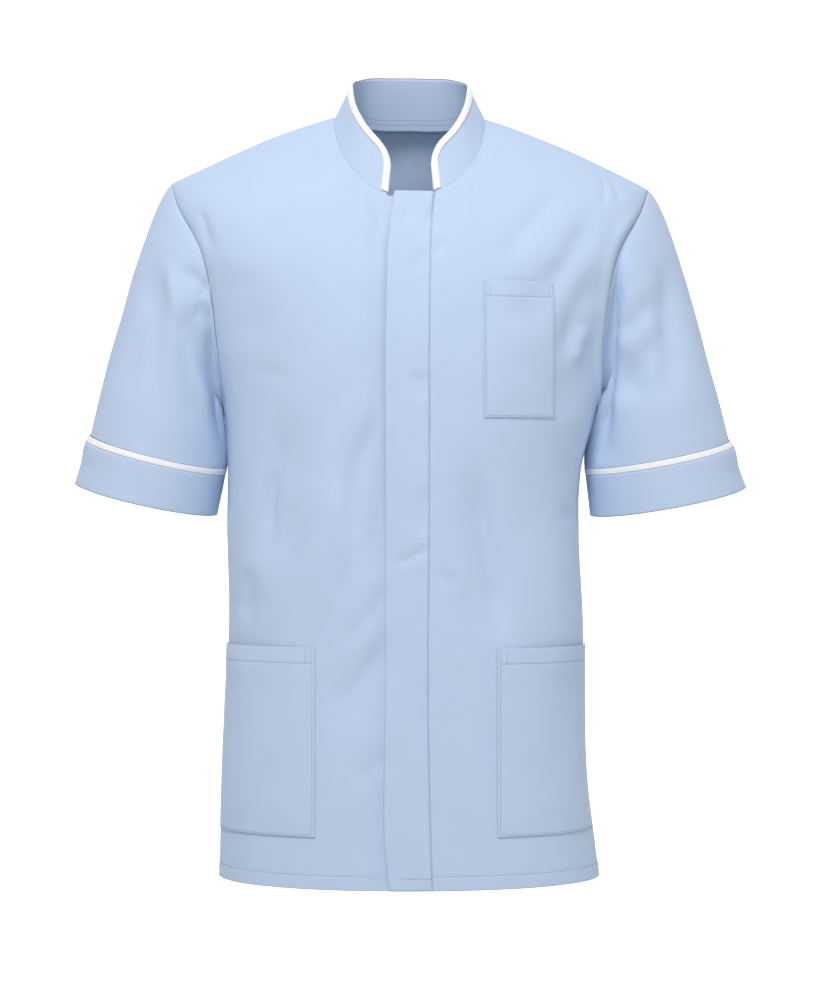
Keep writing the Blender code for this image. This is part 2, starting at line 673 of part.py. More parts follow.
class StandCollar:
    """The collar as a ruled surface: straight lines up from the places along the neckline."""

    def __init__(self, seam):
        ways = ways_along(seam)
        near = np.array([TRIM_WIDTH, CORNER_RADIUS / 2, CORNER_RADIUS])
        extra = np.concatenate([near, ways[-1] - near])
        clear = np.abs(extra[:, None] - ways).min(axis=1) > 0.002
        self.ways = np.sort(np.concatenate([ways, extra[clear]]))
        self.base = np.stack([np.interp(self.ways, ways, seam[:, i]) for i in range(3)], axis=-1)
        away = self.base - np.array([0.0, COLLAR_MIDDLE_Y, 0.0])
        away[:, 2] = 0.0
        away /= np.linalg.norm(away, axis=1, keepdims=True)
        angle = np.degrees(np.arccos(-away[:, 1]))
        lean = smooth(angle, COLLAR_HEIGHT["angle"], COLLAR_HEIGHT["lean"])[:, None]
        upright = np.sqrt(1 - lean**2)
        up = np.array([0.0, 0.0, 1.0])
        self.rise = upright * up - lean * away
        self.out = upright * away + lean * up
        self.full = smooth(angle, COLLAR_HEIGHT["angle"], COLLAR_HEIGHT["height"])

    def read(self, values, way):
        return np.stack([np.interp(way, self.ways, v) for v in values.T], axis=-1)

    def at(self, way, up, off=0.0):
        """The outer face's points at these ways along the seam and distances up it."""
        rise, out = self.read(self.rise, way), self.read(self.out, way)
        return self.read(self.base, way) + np.asarray(up)[..., None] * rise + off * out


def collar(seam):
    band = StandCollar(seam)
    end = band.ways[-1]
    from_end = np.minimum(band.ways, end - band.ways)
    inset = np.clip(CORNER_RADIUS - from_end, 0, CORNER_RADIUS)
    tops = band.full - CORNER_RADIUS + np.sqrt(CORNER_RADIUS**2 - inset**2)
    ups = 2 * SEAM_GAP + np.array(COLLAR_ROWS)[:, None] * (tops - 2 * SEAM_GAP)
    ways = np.broadcast_to(band.ways, ups.shape)
    shell("collar", band.at(ways, ups), SHADE_BLUE, COLLAR_WALL)

    # The trim follows the free edge: up one front edge, round its corner, along the top edge,
    # and the same down the other side. Each place has an outer point and one a width inside.
    straight = band.full[0] - CORNER_RADIUS
    outer, inner = [], []
    for up in np.linspace(3 * SEAM_GAP, straight, 3)[:-1]:
        outer.append((0.0, up))
        inner.append((TRIM_WIDTH, up))
    for turn in np.radians(np.linspace(0, 90, CORNER_STEPS + 1)):
        for radius, line in ((CORNER_RADIUS, outer), (CORNER_RADIUS - TRIM_WIDTH, inner)):
            line.append((CORNER_RADIUS - radius * np.cos(turn), straight + radius * np.sin(turn)))
    corner = len(outer)
    middle = (band.ways > CORNER_RADIUS * 1.2) & (band.ways < end - CORNER_RADIUS * 1.2)
    outer += list(zip(band.ways[middle], band.full[middle]))
    inner += list(zip(band.ways[middle], band.full[middle] - TRIM_WIDTH))
    for line in (outer, inner):
        line += [(end - way, up) for way, up in line[:corner][::-1]]
    edges = np.array([inner, outer])
    points = band.at(edges[..., 0], edges[..., 1], off=1.3 * LAY_GAP)
    shell("collar_trim", points, WHITE, TRIM_WALL, grows_out=True)


# ---- Pockets -------------------------------------------------------------------------------


def pocket_at_seam(name, points, normals):
    """A lower pocket: the front's own points out to the side seam, moved out, mouth ajar."""
    side, inner_x, _, bottom_z, top_z = POCKETS[name]
    sign = 1 if side == "left" else -1
    rows, columns = points.shape[:2]
    ends = np.interp([bottom_z, top_z], points[:, columns // 2, 2], np.arange(rows))
    between_ends = [i for i in range(rows) if ends[0] + 0.2 < i < ends[1] - 0.2]
    places = np.array([ends[0], *between_ends, ends[1]])

    def read(values, row, column):
        i, j = min(int(row), rows - 2), min(int(column), columns - 2)
        s, t = row - i, column - j
        low = values[i, j] * (1 - t) + values[i, j + 1] * t
        high = values[i + 1, j] * (1 - t) + values[i + 1, j + 1] * t
        return low * (1 - s) + high * s

    def column_at(row, x):
        line = [read(points, row, j)[0] * sign for j in range(columns)]
        return np.interp(x * sign, line, np.arange(columns))

    starts = [column_at(row, inner_x) for row in places]
    stop = columns - 1 - SEAM_INSET
    between = [j for j in range(columns) if max(starts) + 0.15 < j < stop - 0.15]
    grid = []
    for row, start in zip(places, starts):
        high = blend(0.70, 1.0, (row - ends[0]) / (ends[1] - ends[0]))
        line = []
        for column in (start, *between, stop):
            across = (column - start) / (stop - start)
            off = POCKET_GAP + MOUTH_STAND_OFF[name] * high * np.sin(np.pi * across)
            line.append(read(points, row, column) + off * read(normals, row, column))
        grid.append(line)
    shell(name, np.array(grid), PALE_BLUE, POCKET_WALL, turned=side == "right", grows_out=True)


def chest_pocket(name, points):
    """A patch of straight lines laid on the front's own facets, and moved out."""
    _, inner_x, outer_x, bottom_z, top_z = POCKETS[name]
    rows, columns = points.shape[:2]
    corners = [
        (i * columns + j, i * columns + j + 1, (i + 1) * columns + j + 1, (i + 1) * columns + j)
        for i in range(rows - 1)
        for j in range(columns - 1)
    ]
    facets = [half for a, b, c, d in corners for half in ((a, b, c), (a, c, d))]
    panel = BVHTree.FromPolygons([tuple(p) for p in points.reshape(-1, 3)], facets)
    grid = []
    for up in np.linspace(0, 1, CHEST_POCKET_CELLS[1] + 1):
        z = bottom_z + up * (top_z - bottom_z)
        line = []
        for across in np.linspace(0, 1, CHEST_POCKET_CELLS[0] + 1):
            before = (inner_x + across * (outer_x - inner_x), -1.0, z)
            place, normal, _, _ = panel.ray_cast(before, (0.0, 1.0, 0.0))
            ajar = MOUTH_STAND_OFF[name] * blend(0.7, 1.0, up) * np.sin(np.pi * across)
            line.append(np.array(place) + (CHEST_POCKET_GAP + ajar) * np.array(normal))
        grid.append(line)
    shell(name, np.array(grid), PALE_BLUE, POCKET_WALL, grows_out=True)


def main():
    clear_scene()
    tunic_collection()
    fronts = {side: front(side) for side in ("left", "right")}
    placket()
    back_points = back()
    seams = {side: np.delete(points, -2, axis=0) for side, (points, _) in fronts.items()}
    back_seam = np.delete(back_points, -2, axis=0)
    for side, edge in (("left", 0), ("right", -1)):
        before = seams[side][ROWS_TO_UNDERARM:, -1][::-1]
        behind = back_seam[ROWS_TO_UNDERARM + 1 : -1, edge]
        sleeve(side, np.concatenate([before, behind]))
        cuff(side)
    across = slice(BACK_SIDE_COLUMNS + 1, -BACK_SIDE_COLUMNS - 1)
    left = seams["left"][-NECK_STEPS - 1 : -1, 0]
    right = seams["right"][-NECK_STEPS - 1 : -1, 0][::-1]
    collar(np.concatenate([left, back_seam[-1, across], right]))
    pocket_at_seam("pocket_right", *fronts["right"])
    pocket_at_seam("pocket_left", *fronts["left"])
    chest_pocket("pocket_chest", fronts["left"][0])


if __name__ == "__main__":
    main()
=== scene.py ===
# %% [markdown]
# # A medical tunic, filled out as it is worn
#
# A short-sleeved healthcare tunic: stand collar with white trim, a concealed front placket,
# a chest pocket, two lower pockets that run into the side seams, and cuffs below a white trim.
# This script builds its cloth over the measured frame, cell by cell: first the worn form that
# every panel is cut from, then the folds, the panels, the sleeves, the collar, the pockets and
# the stitching, and last the fabrics, the light and the camera.
#
# All lengths are in metres, +Z is up, the front faces -Y and +X is the wearer's left. The
# origin is the middle of the neck, level with the points where the shoulder seams meet the
# collar.

# %% Frame and tools
from functools import partial

import bmesh
import bpy
import numpy as np
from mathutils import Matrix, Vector


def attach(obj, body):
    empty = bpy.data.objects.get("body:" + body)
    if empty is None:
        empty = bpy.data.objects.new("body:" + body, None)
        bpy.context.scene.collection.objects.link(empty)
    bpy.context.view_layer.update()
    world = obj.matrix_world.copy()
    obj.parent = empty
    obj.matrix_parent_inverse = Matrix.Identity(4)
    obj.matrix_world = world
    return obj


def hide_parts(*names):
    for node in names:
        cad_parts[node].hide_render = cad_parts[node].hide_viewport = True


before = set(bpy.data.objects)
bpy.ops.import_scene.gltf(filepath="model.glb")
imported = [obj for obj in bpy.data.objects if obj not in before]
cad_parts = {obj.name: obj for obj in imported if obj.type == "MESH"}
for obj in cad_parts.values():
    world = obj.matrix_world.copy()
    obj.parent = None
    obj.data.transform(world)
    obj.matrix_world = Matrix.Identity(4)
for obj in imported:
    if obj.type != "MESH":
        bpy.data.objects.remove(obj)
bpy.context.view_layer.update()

# %% [markdown]
# ## Sizes
#
# These are the tunic's own measures: its cloth, the levels of the worn form from the hem up to
# the ridge of the shoulders, the armhole, the neckline, the placket, the collar, the cuffs and
# the pockets. The same measures made the frame's solids, so the cloth lies where they lie.

# %% Sizes of the cloth and the worn form
SIGN = {"left": 1, "right": -1}  # of x, on the wearer's left and right
ACROSS, BACKWARD, UP = np.eye(3)
WALL = 0.0012
COLLAR_WALL = 0.0014
POCKET_WALL = 0.0010
SEAM_GAP = 0.0003


def columns_of(names, *rows):
    """The columns of a table's rows, as arrays by name."""
    return dict(zip(names.split(), (np.array(column) for column in zip(*rows))))


FORM = columns_of(
    "front_z front_y back_z back_y side_z half_width middle_x square lean",
    (-0.7645, -0.134, -0.7650, 0.126, -0.7620, 0.1898, -0.0008, 2.5, 0.0),  # hem
    (-0.6600, -0.131, -0.6600, 0.121, -0.6600, 0.1820, -0.0055, 2.5, 0.0),  # lower pockets
    (-0.5000, -0.128, -0.5000, 0.118, -0.5000, 0.1765, -0.0045, 2.5, 0.0),  # waist
    (-0.4200, -0.129, -0.4200, 0.121, -0.4200, 0.1755, -0.0070, 2.4, 0.0),  # low chest
    (-0.3600, -0.130, -0.3600, 0.126, -0.3600, 0.1765, -0.0055, 2.4, 0.0),  # below the arm
    (-0.3000, -0.130, -0.3000, 0.130, -0.3000, 0.1865, 0.0000, 2.4, 0.0),  # underarm
    (-0.2200, -0.127, -0.2150, 0.131, -0.2150, 0.2045, 0.0000, 2.5, 0.0),  # chest
    (-0.1550, -0.115, -0.1450, 0.124, -0.1500, 0.2215, 0.0000, 2.8, 0.0),  # upper chest
    (-0.0905, -0.088, -0.0750, 0.104, -0.1050, 0.2345, 0.0000, 3.0, -0.001),  # neck pit
    (-0.0300, -0.047, -0.0110, 0.072, -0.0820, 0.2385, 0.0000, 3.0, -0.002),  # nape
    (0.0080, 0.003, 0.0080, 0.003, -0.0755, 0.2385, 0.0000, 3.0, -0.003),  # ridge
)
SHOULDER_SLOPE = 1.5
UNDERARM_Z = -0.300
ARMHOLE = columns_of(
    "z front_angle back_angle",
    (-0.2960, 83.0, 83.0),
    (-0.2820, 76.5, 77.0),
    (-0.2550, 70.5, 71.5),
    (-0.2200, 65.0, 67.5),
    (-0.1850, 60.2, 65.0),
    (-0.1520, 58.0, 64.0),
    (-0.1280, 60.2, 65.0),
    (-0.1060, 66.0, 68.5),
    (-0.0880, 73.0, 74.5),
)
SIDE_SEAM_ANGLE = 74.0
NECK_HALF_WIDTH = 0.0757
NECK_SQUARE = 2.3
NECK_PIT, NAPE = 8, 9  # levels of the form
HEM_STITCH = 0.0138  # the hem's stitching, above its edge
NECK_NOTCH = 0.0040  # how much lower the right front's neck edge is beside the placket
STUD_AT, STUD_RADIUS = (-0.0200, -0.1015), 0.0068  # the print of the press stud below the cloth
STUD_PRINT, STUD_PRINT_WIDTH = 0.0007, 0.0012

# %% Sizes of the placket, collar, cuffs and pockets
PLACKET = columns_of(
    "z folded_x stitched_x",
    (-0.7645, -0.0195, 0.0225),
    (-0.7350, -0.0230, 0.0215),
    (-0.6000, -0.0237, 0.0185),
    (-0.4000, -0.0237, 0.0195),
    (-0.2000, -0.0230, 0.0200),
    (-0.1300, -0.0205, 0.0213),
    (-0.0870, -0.0155, 0.0236),
)
PLACKET_TOP_Z = -0.0870
UNDER_PLACKET_X = 0.012  # where the right front ends, under the placket
STEP_FROM_X, STEP_TO_X = -0.030, -0.046  # it steps down here, to lie clear below the placket
STEP_DEPTH = WALL + 0.0013

COLLAR_LEFT_X, COLLAR_RIGHT_X = 0.0245, -0.0224
COLLAR_HEIGHT = columns_of(
    "angle height lean",
    (0, 0.0480, 0.28),
    (45, 0.0475, 0.34),
    (90, 0.0350, 0.47),
    (120, 0.0420, 0.34),
    (150, 0.0515, 0.20),
    (180, 0.0525, 0.17),
)
COLLAR_MIDDLE_Y = -0.005
CORNER_RADIUS = 0.0225
TRIM_WIDTH = 0.0065
TRIM_WALL = 0.0010
TRIM_RISE = 0.0004

# X, y and z of a ring's middle, its half width and half depth, and its tilt in degrees: at the
# trim's top, and at the cuff's edge
CUFF_RINGS = {
    "left": (
        (0.2470, 0.000, -0.3430, 0.0735, 0.061, 10.7),
        (0.2588, 0.004, -0.3905, 0.0790, 0.063, 10.4),
    ),
    "right": (
        (-0.2515, 0.000, -0.3405, 0.0701, 0.060, 13.8),
        (-0.2645, 0.004, -0.3880, 0.0731, 0.062, 12.6),
    ),
}
CUFF_DROP = 6.5  # degrees: how far a cuff's front lies below its back
CUFF_LENGTH = 0.0495
SLEEVE_TURN = {"top": 0.29, "under": 0.42}  # how long a sleeve keeps its direction off the body
SLEEVE_PUFF = 0.25  # how far it leaves the armhole forward and back
SLEEVE_HANG = 0.4  # how much more upright it comes to its cuff than the cuff itself lies

# Inner x, z of the foot and of the mouth, and how far the mouth stands ajar
LOWER_POCKETS = {
    "right": (-0.0912, -0.7140, -0.5310, 0.0028),
    "left": (0.0845, -0.7140, -0.5320, 0.0022),
}
CHEST_POCKET_X, CHEST_POCKET_Z = (0.0716, 0.1410), (-0.3090, -0.1770)
CHEST_POCKET_AJAR = 0.0008

# %% [markdown]
# ## The worn form
#
# A worn tunic keeps the shape that it hangs in, from the shoulders down. It could be draped by
# a cloth simulation, or sculpted, but then each panel would have to be fitted to the next. Here
# one smooth surface carries the fronts, the back, the placket and the pockets, so they meet. A
# place on it has an angle round the body (0 at the middle front, 90 degrees at the wearer's
# left side) and a height, which is the distance up the middle front from the hem.

# %% The worn form
FRONT_STEPS = np.hypot(np.diff(FORM["front_y"]), np.diff(FORM["front_z"]))
HEIGHTS = np.concatenate([[0.0], np.cumsum(FRONT_STEPS)])
RIDGE = HEIGHTS[-1]
OVER = np.concatenate([HEIGHTS, 2 * RIDGE - HEIGHTS[-2::-1]])


def over_the_shoulder(front, back):
    """Values up the front and on down the back."""
    return np.concatenate([front, back[-2::-1]])


PATH = {part: over_the_shoulder(FORM["front_" + part], FORM["back_" + part]) for part in "yz"}
for name in ("side_z", "half_width", "middle_x", "square", "lean"):
    PATH[name] = over_the_shoulder(FORM[name], FORM[name])


def hermite(t, start, end, leave, arrive):
    """The cubic from start to end, t from 0 to 1, that leaves and arrives with these slopes."""
    begun = (1 + 2 * t) * (1 - t) ** 2 * start + t * (1 - t) ** 2 * leave
    return begun + t**2 * (3 - 2 * t) * end - t**2 * (1 - t) * arrive


def smooth(at, knots, values):
    """A smooth curve through the values at the knots (Catmull-Rom), read at these places."""
    slopes = np.gradient(values, knots)
    i = np.clip(np.searchsorted(knots, at, side="right") - 1, 0, len(knots) - 2)
    step = knots[i + 1] - knots[i]
    t = (at - knots[i]) / step
    return hermite(t, values[i], values[i + 1], step * slopes[i], step * slopes[i + 1])


def blend(low, high, value):
    """0 at low and 1 at high, with soft ends, level beyond both. High may lie below low."""
    t = np.clip((value - low) / (high - low), 0, 1)
    return t * t * (3 - 2 * t)


def window(value, limits):
    """1 between the middle two of four rising limits, 0 beyond the outer two."""
    start, full, still, end = limits
    return blend(start, full, value) * blend(end, still, value)


def bell(distance, width):
    """1 at a distance of 0, falling off softly on both sides."""
    return np.exp(-((distance / width) ** 2))


def span(vectors):
    """How long these vectors are."""
    return np.linalg.norm(vectors, axis=-1)


def unit(vectors):
    """These vectors at a length of 1."""
    return vectors / span(vectors)[..., None]


def measures(angle, height):
    """The form's measures at these angles and heights, by name."""
    path = np.where(np.cos(angle) >= 0, height, 2 * RIDGE - height)
    return {name: smooth(path, OVER, values) for name, values in PATH.items()}


def on_form(angle, height):
    """The form's points at these angles (radians) and heights."""
    angle, height = np.broadcast_arrays(np.asarray(angle, float), np.asarray(height, float))
    at = measures(angle, height)
    sine, cosine = np.sin(angle), np.abs(np.cos(angle))
    power = at["square"]
    reach = (np.abs(sine) ** power + cosine**power) ** (-1 / power)
    across = reach * sine
    x = at["middle_x"] + at["half_width"] * across
    y = at["y"] * reach * cosine
    drop = (at["side_z"] - at["z"]) * np.abs(across) ** SHOULDER_SLOPE
    return np.stack([x, y, at["z"] + drop + at["lean"] * across], axis=-1)


def outward(angle, height):
    """The form's unit normals, which point out of the garment."""
    small = 1e-3
    round_it = on_form(angle + small, height) - on_form(angle - small, height)
    lower, upper = np.clip(height - small, 0, RIDGE), np.clip(height + small, 0, RIDGE)
    up_it = on_form(angle, upper) - on_form(angle, lower)
    normal = np.cross(round_it, up_it)
    return normal / np.maximum(span(normal), 1e-12)[..., None]


def angle_of_x(x, height, back=False):
    """The angle on the front, or on the back, at which a level reaches this x."""
    at = measures(np.full(np.shape(height), np.pi if back else 0.0), height)
    across = np.clip((x - at["middle_x"]) / at["half_width"], -1, 1)
    depth = (1 - np.abs(across) ** at["square"]) ** (1 / at["square"])
    angle = np.arctan2(across, depth)
    return np.pi - angle if back else angle


def height_where(z_of_height, z):
    """The height at which a rising function reaches each z."""
    low, high = np.zeros(np.shape(z)), np.full(np.shape(z), RIDGE)
    for _ in range(40):
        middle = (low + high) / 2
        below = z_of_height(middle) < z
        low, high = np.where(below, middle, low), np.where(below, high, middle)
    return (low + high) / 2


def height_at(x, z):
    """The height at which the front reaches this z, at this x."""
    return height_where(lambda h: on_form(angle_of_x(x, h), h)[..., 2], z)


PROBES = 181


def way_round(angle, height, start=0.0):
    """The distance round a level from the angle start, the middle front, to an angle."""
    angle, height = np.asarray(angle)[..., None], np.asarray(height)[..., None]
    ring = start + np.linspace(0, 1, PROBES) * (angle - start)
    return span(np.diff(on_form(ring, height), axis=-2)).sum(axis=-1)


def angle_at_way(way, height, back=False):
    """The angle this far round a level from its middle front or back, to the left if above 0."""
    ring = np.where(way < 0, -1.0, 1.0)[..., None] * np.linspace(0, np.pi, PROBES)
    ring = np.pi - ring if back else ring
    steps = span(np.diff(on_form(ring, height[..., None]), axis=-2))
    ways = np.insert(np.cumsum(steps, axis=-1), 0, 0.0, axis=-1)
    rows = zip(np.abs(way).ravel(), ways.reshape(-1, PROBES), ring.reshape(-1, PROBES))
    return np.reshape([np.interp(w, row, turn) for w, row, turn in rows], np.shape(way))


def front_z(height):
    """How high the form's middle front is, at these heights."""
    return on_form(0.0, height)[..., 2]


print(f"The form is {RIDGE:.3f} m from the hem to the ridge of the shoulders, up the front.")

# %% [markdown]
# ## Seams on the form
#
# The side seams, the armholes and the neckline are the edges that a maker cuts and joins. They
# could be curves projected onto the form. As lists of angles and heights at equal lengths they
# are read by the panels on both sides of a seam, which then meet place by place.

# %% Seams on the form
ROWS_TO_UNDERARM, ROWS_OF_ARMHOLE = 16, 14
NECK_STEPS, NAPE_STEPS = 7, 14
FRONT_COLUMNS, BACK_SIDE_COLUMNS = 13, 7
UNDERARM = height_where(lambda h: on_form(np.pi / 2, h)[..., 2], np.array(UNDERARM_Z))
SIDE_HEIGHTS = np.linspace(0, UNDERARM, ROWS_TO_UNDERARM + 1)
FINE = np.linspace(0, 1, 400)


def ways_along(points):
    """The distance along a line of points to each of them."""
    return np.insert(np.cumsum(span(np.diff(points, axis=0))), 0, 0.0)


def read_line(at, ways, values):
    """Places or directions on a line, at these distances along it."""
    return np.stack([np.interp(at, ways, part) for part in values.T], axis=-1)


def even_shares(points, count):
    """Shares of a fine line of points that part it into equal lengths."""
    ways = ways_along(points)
    return np.interp(np.linspace(0, ways[-1], count + 1), ways, np.linspace(0, 1, len(ways)))


def side_seam(height):
    """The left side seam's angle at these heights, from the hem to the underarm."""
    return np.radians(90 - (90 - SIDE_SEAM_ANGLE) * (1 - height / UNDERARM) ** 1.2)


def armhole(face):
    """Angles and heights of the left armhole on one face, underarm to tip, at equal lengths."""
    turn = np.radians(ARMHOLE[face + "_angle"])
    turn = turn if face == "front" else np.pi - turn
    height = height_where(lambda h: on_form(turn, h)[..., 2], ARMHOLE["z"])
    turn = np.concatenate([[np.pi / 2], turn, [np.pi / 2]])
    height = np.concatenate([[UNDERARM], height, [RIDGE]])
    knots = ways_along(np.stack([turn * np.mean(FORM["half_width"]), height], axis=-1))

    def at(share):
        return smooth(share * knots[-1], knots, turn), smooth(share * knots[-1], knots, height)

    return at(even_shares(on_form(*at(FINE)), ROWS_OF_ARMHOLE))


def evenly(at, count, back=False):
    """A neckline's places at equal lengths, from its x and height at shares of it."""
    x, height = at(FINE)
    return at(even_shares(on_form(angle_of_x(x, height, back), height), count))


def neckline_front(start_x):
    """x and height of the front neckline's places, from start_x to the shoulder seam."""
    start = np.arcsin((abs(start_x) / NECK_HALF_WIDTH) ** (NECK_SQUARE / 2))

    def at(share):
        turn = start + share * (np.pi / 2 - start)
        x = NECK_HALF_WIDTH * np.sin(turn) ** (2 / NECK_SQUARE)
        drop = np.clip(np.cos(turn), 0, 1) ** (2 / NECK_SQUARE)
        return np.sign(start_x) * x, RIDGE - (RIDGE - HEIGHTS[NECK_PIT]) * drop

    return evenly(at, NECK_STEPS)


def neckline_back():
    """x and height of the back neckline's places, from the left shoulder seam to the right."""

    def at(share):
        x = NECK_HALF_WIDTH * np.cos(np.pi * share)
        return x, RIDGE - (RIDGE - HEIGHTS[NAPE]) * np.sin(np.pi * share)

    return evenly(at, NAPE_STEPS, back=True)


def finer(values, places, breaks=()):
    """Values along the first axis, read at finer places, smoothly between the breaks."""
    values = np.asarray(values, float)
    made = np.empty((len(places),) + values.shape[1:])
    ends = [0, *breaks, len(values) - 1]
    for first, last in zip(ends[:-1], ends[1:]):
        inside = (places >= first) & (places <= last)
        t = places[inside] - first
        part = values[first : last + 1]
        slopes = np.gradient(part, axis=0)
        i = np.clip(t.astype(int), 0, last - first - 1)
        t = (t - i).reshape((-1,) + (1,) * (values.ndim - 1))
        made[inside] = hermite(t, part[i], part[i + 1], slopes[i], slopes[i + 1])
    return made


def finer_grids(grids, rows, columns, row_breaks, column_breaks=()):
    """Grids of values, read at finer rows and columns."""
    return (finer(finer(grid, rows, row_breaks).T, columns, column_breaks).T for grid in grids)


# %% [markdown]
# ## Folds
#
# The cloth hangs from the shoulders, so its folds are long and soft. A simulation would make
# folds too, but other ones in other places. So each one is given one by one in its own size:
# where it runs, how far it bows aside, its half width and its depth (below zero for a ridge).
# The front's are those that show; the back's are similar ones.

# %% Folds of the body
def in_millimetres(*folds):
    """Folds given in millimetres: x and z of both ends, bow, half width and depth."""
    return np.array(folds) / 1000


BODY_FOLDS = {
    "front": in_millimetres(
        # large ones on the wearer's right front
        (-112, -290, -142, -480, 6, 21, 5),
        (-150, -460, -158, -560, 0, 20, 3),
        (-40, -300, -58, -500, 8, 22, 3.5),
        (-85, -340, -90, -520, 4, 22, -3),
        (-30, -520, -66, -620, 4, 22, 3),
        (-172, -150, -160, -250, 6, 20, 3),
        # large ones on the wearer's left front
        (60, -345, 94, -540, -6, 22, 4.5),
        (150, -150, 92, -230, 4, 22, 3.5),
        (176, -200, 140, -320, 6, 20, 4),
        (130, -400, 150, -580, 6, 22, -3),
        # below the collar
        (25, -96, 12.5, -130, 1, 4, 2.4),
        (11, -100, -11, -119, 1, 7, 1.7),
        (50, -85, 40.5, -113, 1, 6, 2.4),
        (63.1, -76, 63.1, -95, 0, 5, 1.4),
        (-57.6, -82, -57.6, -108, 1, 6, 1.7),
        (-30.7, -100, -30.7, -137, 1, 6, 1.7),
        (29.8, -95, 29.8, -108, 0, 6, 1.7),
        # on the placket, and from one side of it to the other
        (11.5, -143, 6.3, -171, 0, 6, 2),
        (32.5, -133, 25, -155.5, 0, 5, 1.7),
        (9.6, -262, 9.6, -296, 0, 8, 1.7),
        (13.4, -373, 13.4, -429, 0, 7, 1.7),
        (-18, -453, 24, -431, -1, 5.5, 1.6),
        (20, -459, 50, -471, 0, 6, 1.1),
        # wearer's right front
        (-121.9, -285, -149, -470, -1, 9, 4.4),
        (-135, -356, -144, -425, 0, 5, 3.1),
        (-153.5, -448, -165.5, -512, 0, 9, 3.7),
        (-28, -290, -60, -450, -9.5, 10, 4.4),
        (-66.2, -365, -66.2, -475, 0, 9, -2.7),
        (-16, -464, -70, -538, 2, 9, 2.1),
        (-16, -511, -76, -595, 3, 11, 2.4),
        (-60, -667, -12, -628, 0, 9, 1.4),
        (-156, -258, -111, -274, 0, 8, 1.1),
        (-208, -98, -192, -148, -1, 5, 2.7),
        # wearer's left front
        (60, -340, 95.5, -540, 0, 10, 4.4),
        (160, -80, 86, -166, -6, 12, 3.4),
        (186, -100, 130, -196, 0, 12, 4.2),
        (184, -160, 145, -264, -3, 11.5, 4.8),
        (172, -215, 162, -262, 0, 7, -3.7),
        (192, -64, 192, -104, 0, 3, 2),
        (196.5, -62, 208.5, -100, 1, 3, 2),
        (156.5, -393, 156.5, -415, 0, 8, 1.7),
    ),
    "back": in_millimetres(
        (-120, -300, -100, -560, 10, 24, 5.5),
        (125, -280, 95, -540, -10, 24, 5.5),
        (-40, -420, -55, -700, 6, 24, 4),
        (45, -440, 40, -690, -4, 24, 4.5),
        (0, -180, 5, -420, 4, 26, -3.5),
        (-165, -200, -110, -280, 4, 22, 4.5),
        (165, -190, 112, -270, -4, 22, 4.5),
        (-123, -295, -108, -500, 3, 10, 4.4),
        (125, -290, 106, -490, -3, 10, 4.4),
        (-40, -430, -56, -560, -4, 9.5, 3.4),
        (35, -470, 48, -610, 3, 9, 3.4),
        (-175, -115, -135, -190, 2, 10, 4.4),
        (178, -120, 140, -185, -2, 9.5, 4.1),
        (-50, -45, -35, -95, 1, 8, 2),
        (45, -50, 37, -98, -1, 8, 2),
        (-80, -600, -45, -565, 0, 8, 2.4),
    ),
}
SIDEWAYS = 0.35  # a normal this far forward or back counts as facing so
LONG_WAVES = (0.075, 0.0004, 9, 3)  # length, height, how many, seed
SHORT_WAVES = (0.022, 0.00008, 11, 8)


def trough(along, aside, half_width, depth):
    """A soft trough: deepest along its middle, and running out at both ends."""
    return -depth * window(along, (0.0, 0.35, 0.65, 1.0)) * bell(aside, half_width)


def folds_on(points, faces, folds):
    """How far folds move the cloth out, where faces is 1 in front and -1 behind."""
    moved = np.zeros(points.shape[:-1])
    for face, shows in (("front", faces), ("back", -faces)):
        for x0, z0, x1, z1, bow, half_width, depth in folds[face]:
            length = np.hypot(x1 - x0, z1 - z0)
            ahead = np.array([x1 - x0, z1 - z0]) / length
            offset = points[..., [0, 2]] - [x0, z0]
            along = offset @ ahead / length
            aside = offset @ [-ahead[1], ahead[0]] - bow * np.sin(np.pi * np.clip(along, 0, 1))
            moved += np.clip(shows, 0, 1) * trough(along, aside, half_width, depth)
    return moved


def waves(points, length, height, count, seed):
    """Low random waves through space, for the slight unevenness of hanging cloth."""
    chance = np.random.default_rng(seed)
    total = np.zeros(points.shape[:-1])
    for _ in range(count):
        heading = unit(chance.normal(size=3) * np.array([1.0, 1.0, 0.55]))
        long = length * chance.uniform(0.7, 1.5)
        total += np.sin(points @ heading * (2 * np.pi / long) + chance.uniform(0, 2 * np.pi))
    return height * total / np.sqrt(count)


def facing(normals):
    """1 where the cloth faces forward, -1 where it faces back, and between at the sides."""
    return np.clip(-normals[..., 1] / SIDEWAYS, -1, 1)


def settled(points, normals):
    """How far the cloth of the body lies out from its form: folds and unevenness."""
    faces = facing(normals)
    moved = folds_on(points, faces, BODY_FOLDS)
    moved += waves(points, *LONG_WAVES) + waves(points, *SHORT_WAVES)
    from_stud = np.hypot(points[..., 0] - STUD_AT[0], points[..., 2] - STUD_AT[1])
    print_of_stud = STUD_PRINT * bell(from_stud - STUD_RADIUS, STUD_PRINT_WIDTH)
    return moved + print_of_stud * (faces > 0.5)


def on_cloth(angle, height, off=0.0):
    """The body's settled cloth at these places on the form, and its normals."""
    points, normals = on_form(angle, height), outward(angle, height)
    return points + (settled(points, normals) + off)[..., None] * normals, normals


# %% [markdown]
# ## Cloth panels
#
# A panel of a real tunic is one flat cut of cloth, about a millimetre thick. Here it is a fine
# grid whose points are moved onto the settled form, with a UV map in metres along the cloth's
# grain, and a Solidify modifier gives it its wall. A grid keeps its rows along the grain, which
# a sculpted or remeshed surface would lose. `lay` makes one, ties it to the frame and puts it in
# the place of the frame's solid.

# %% Cloth panels
pieces = {}


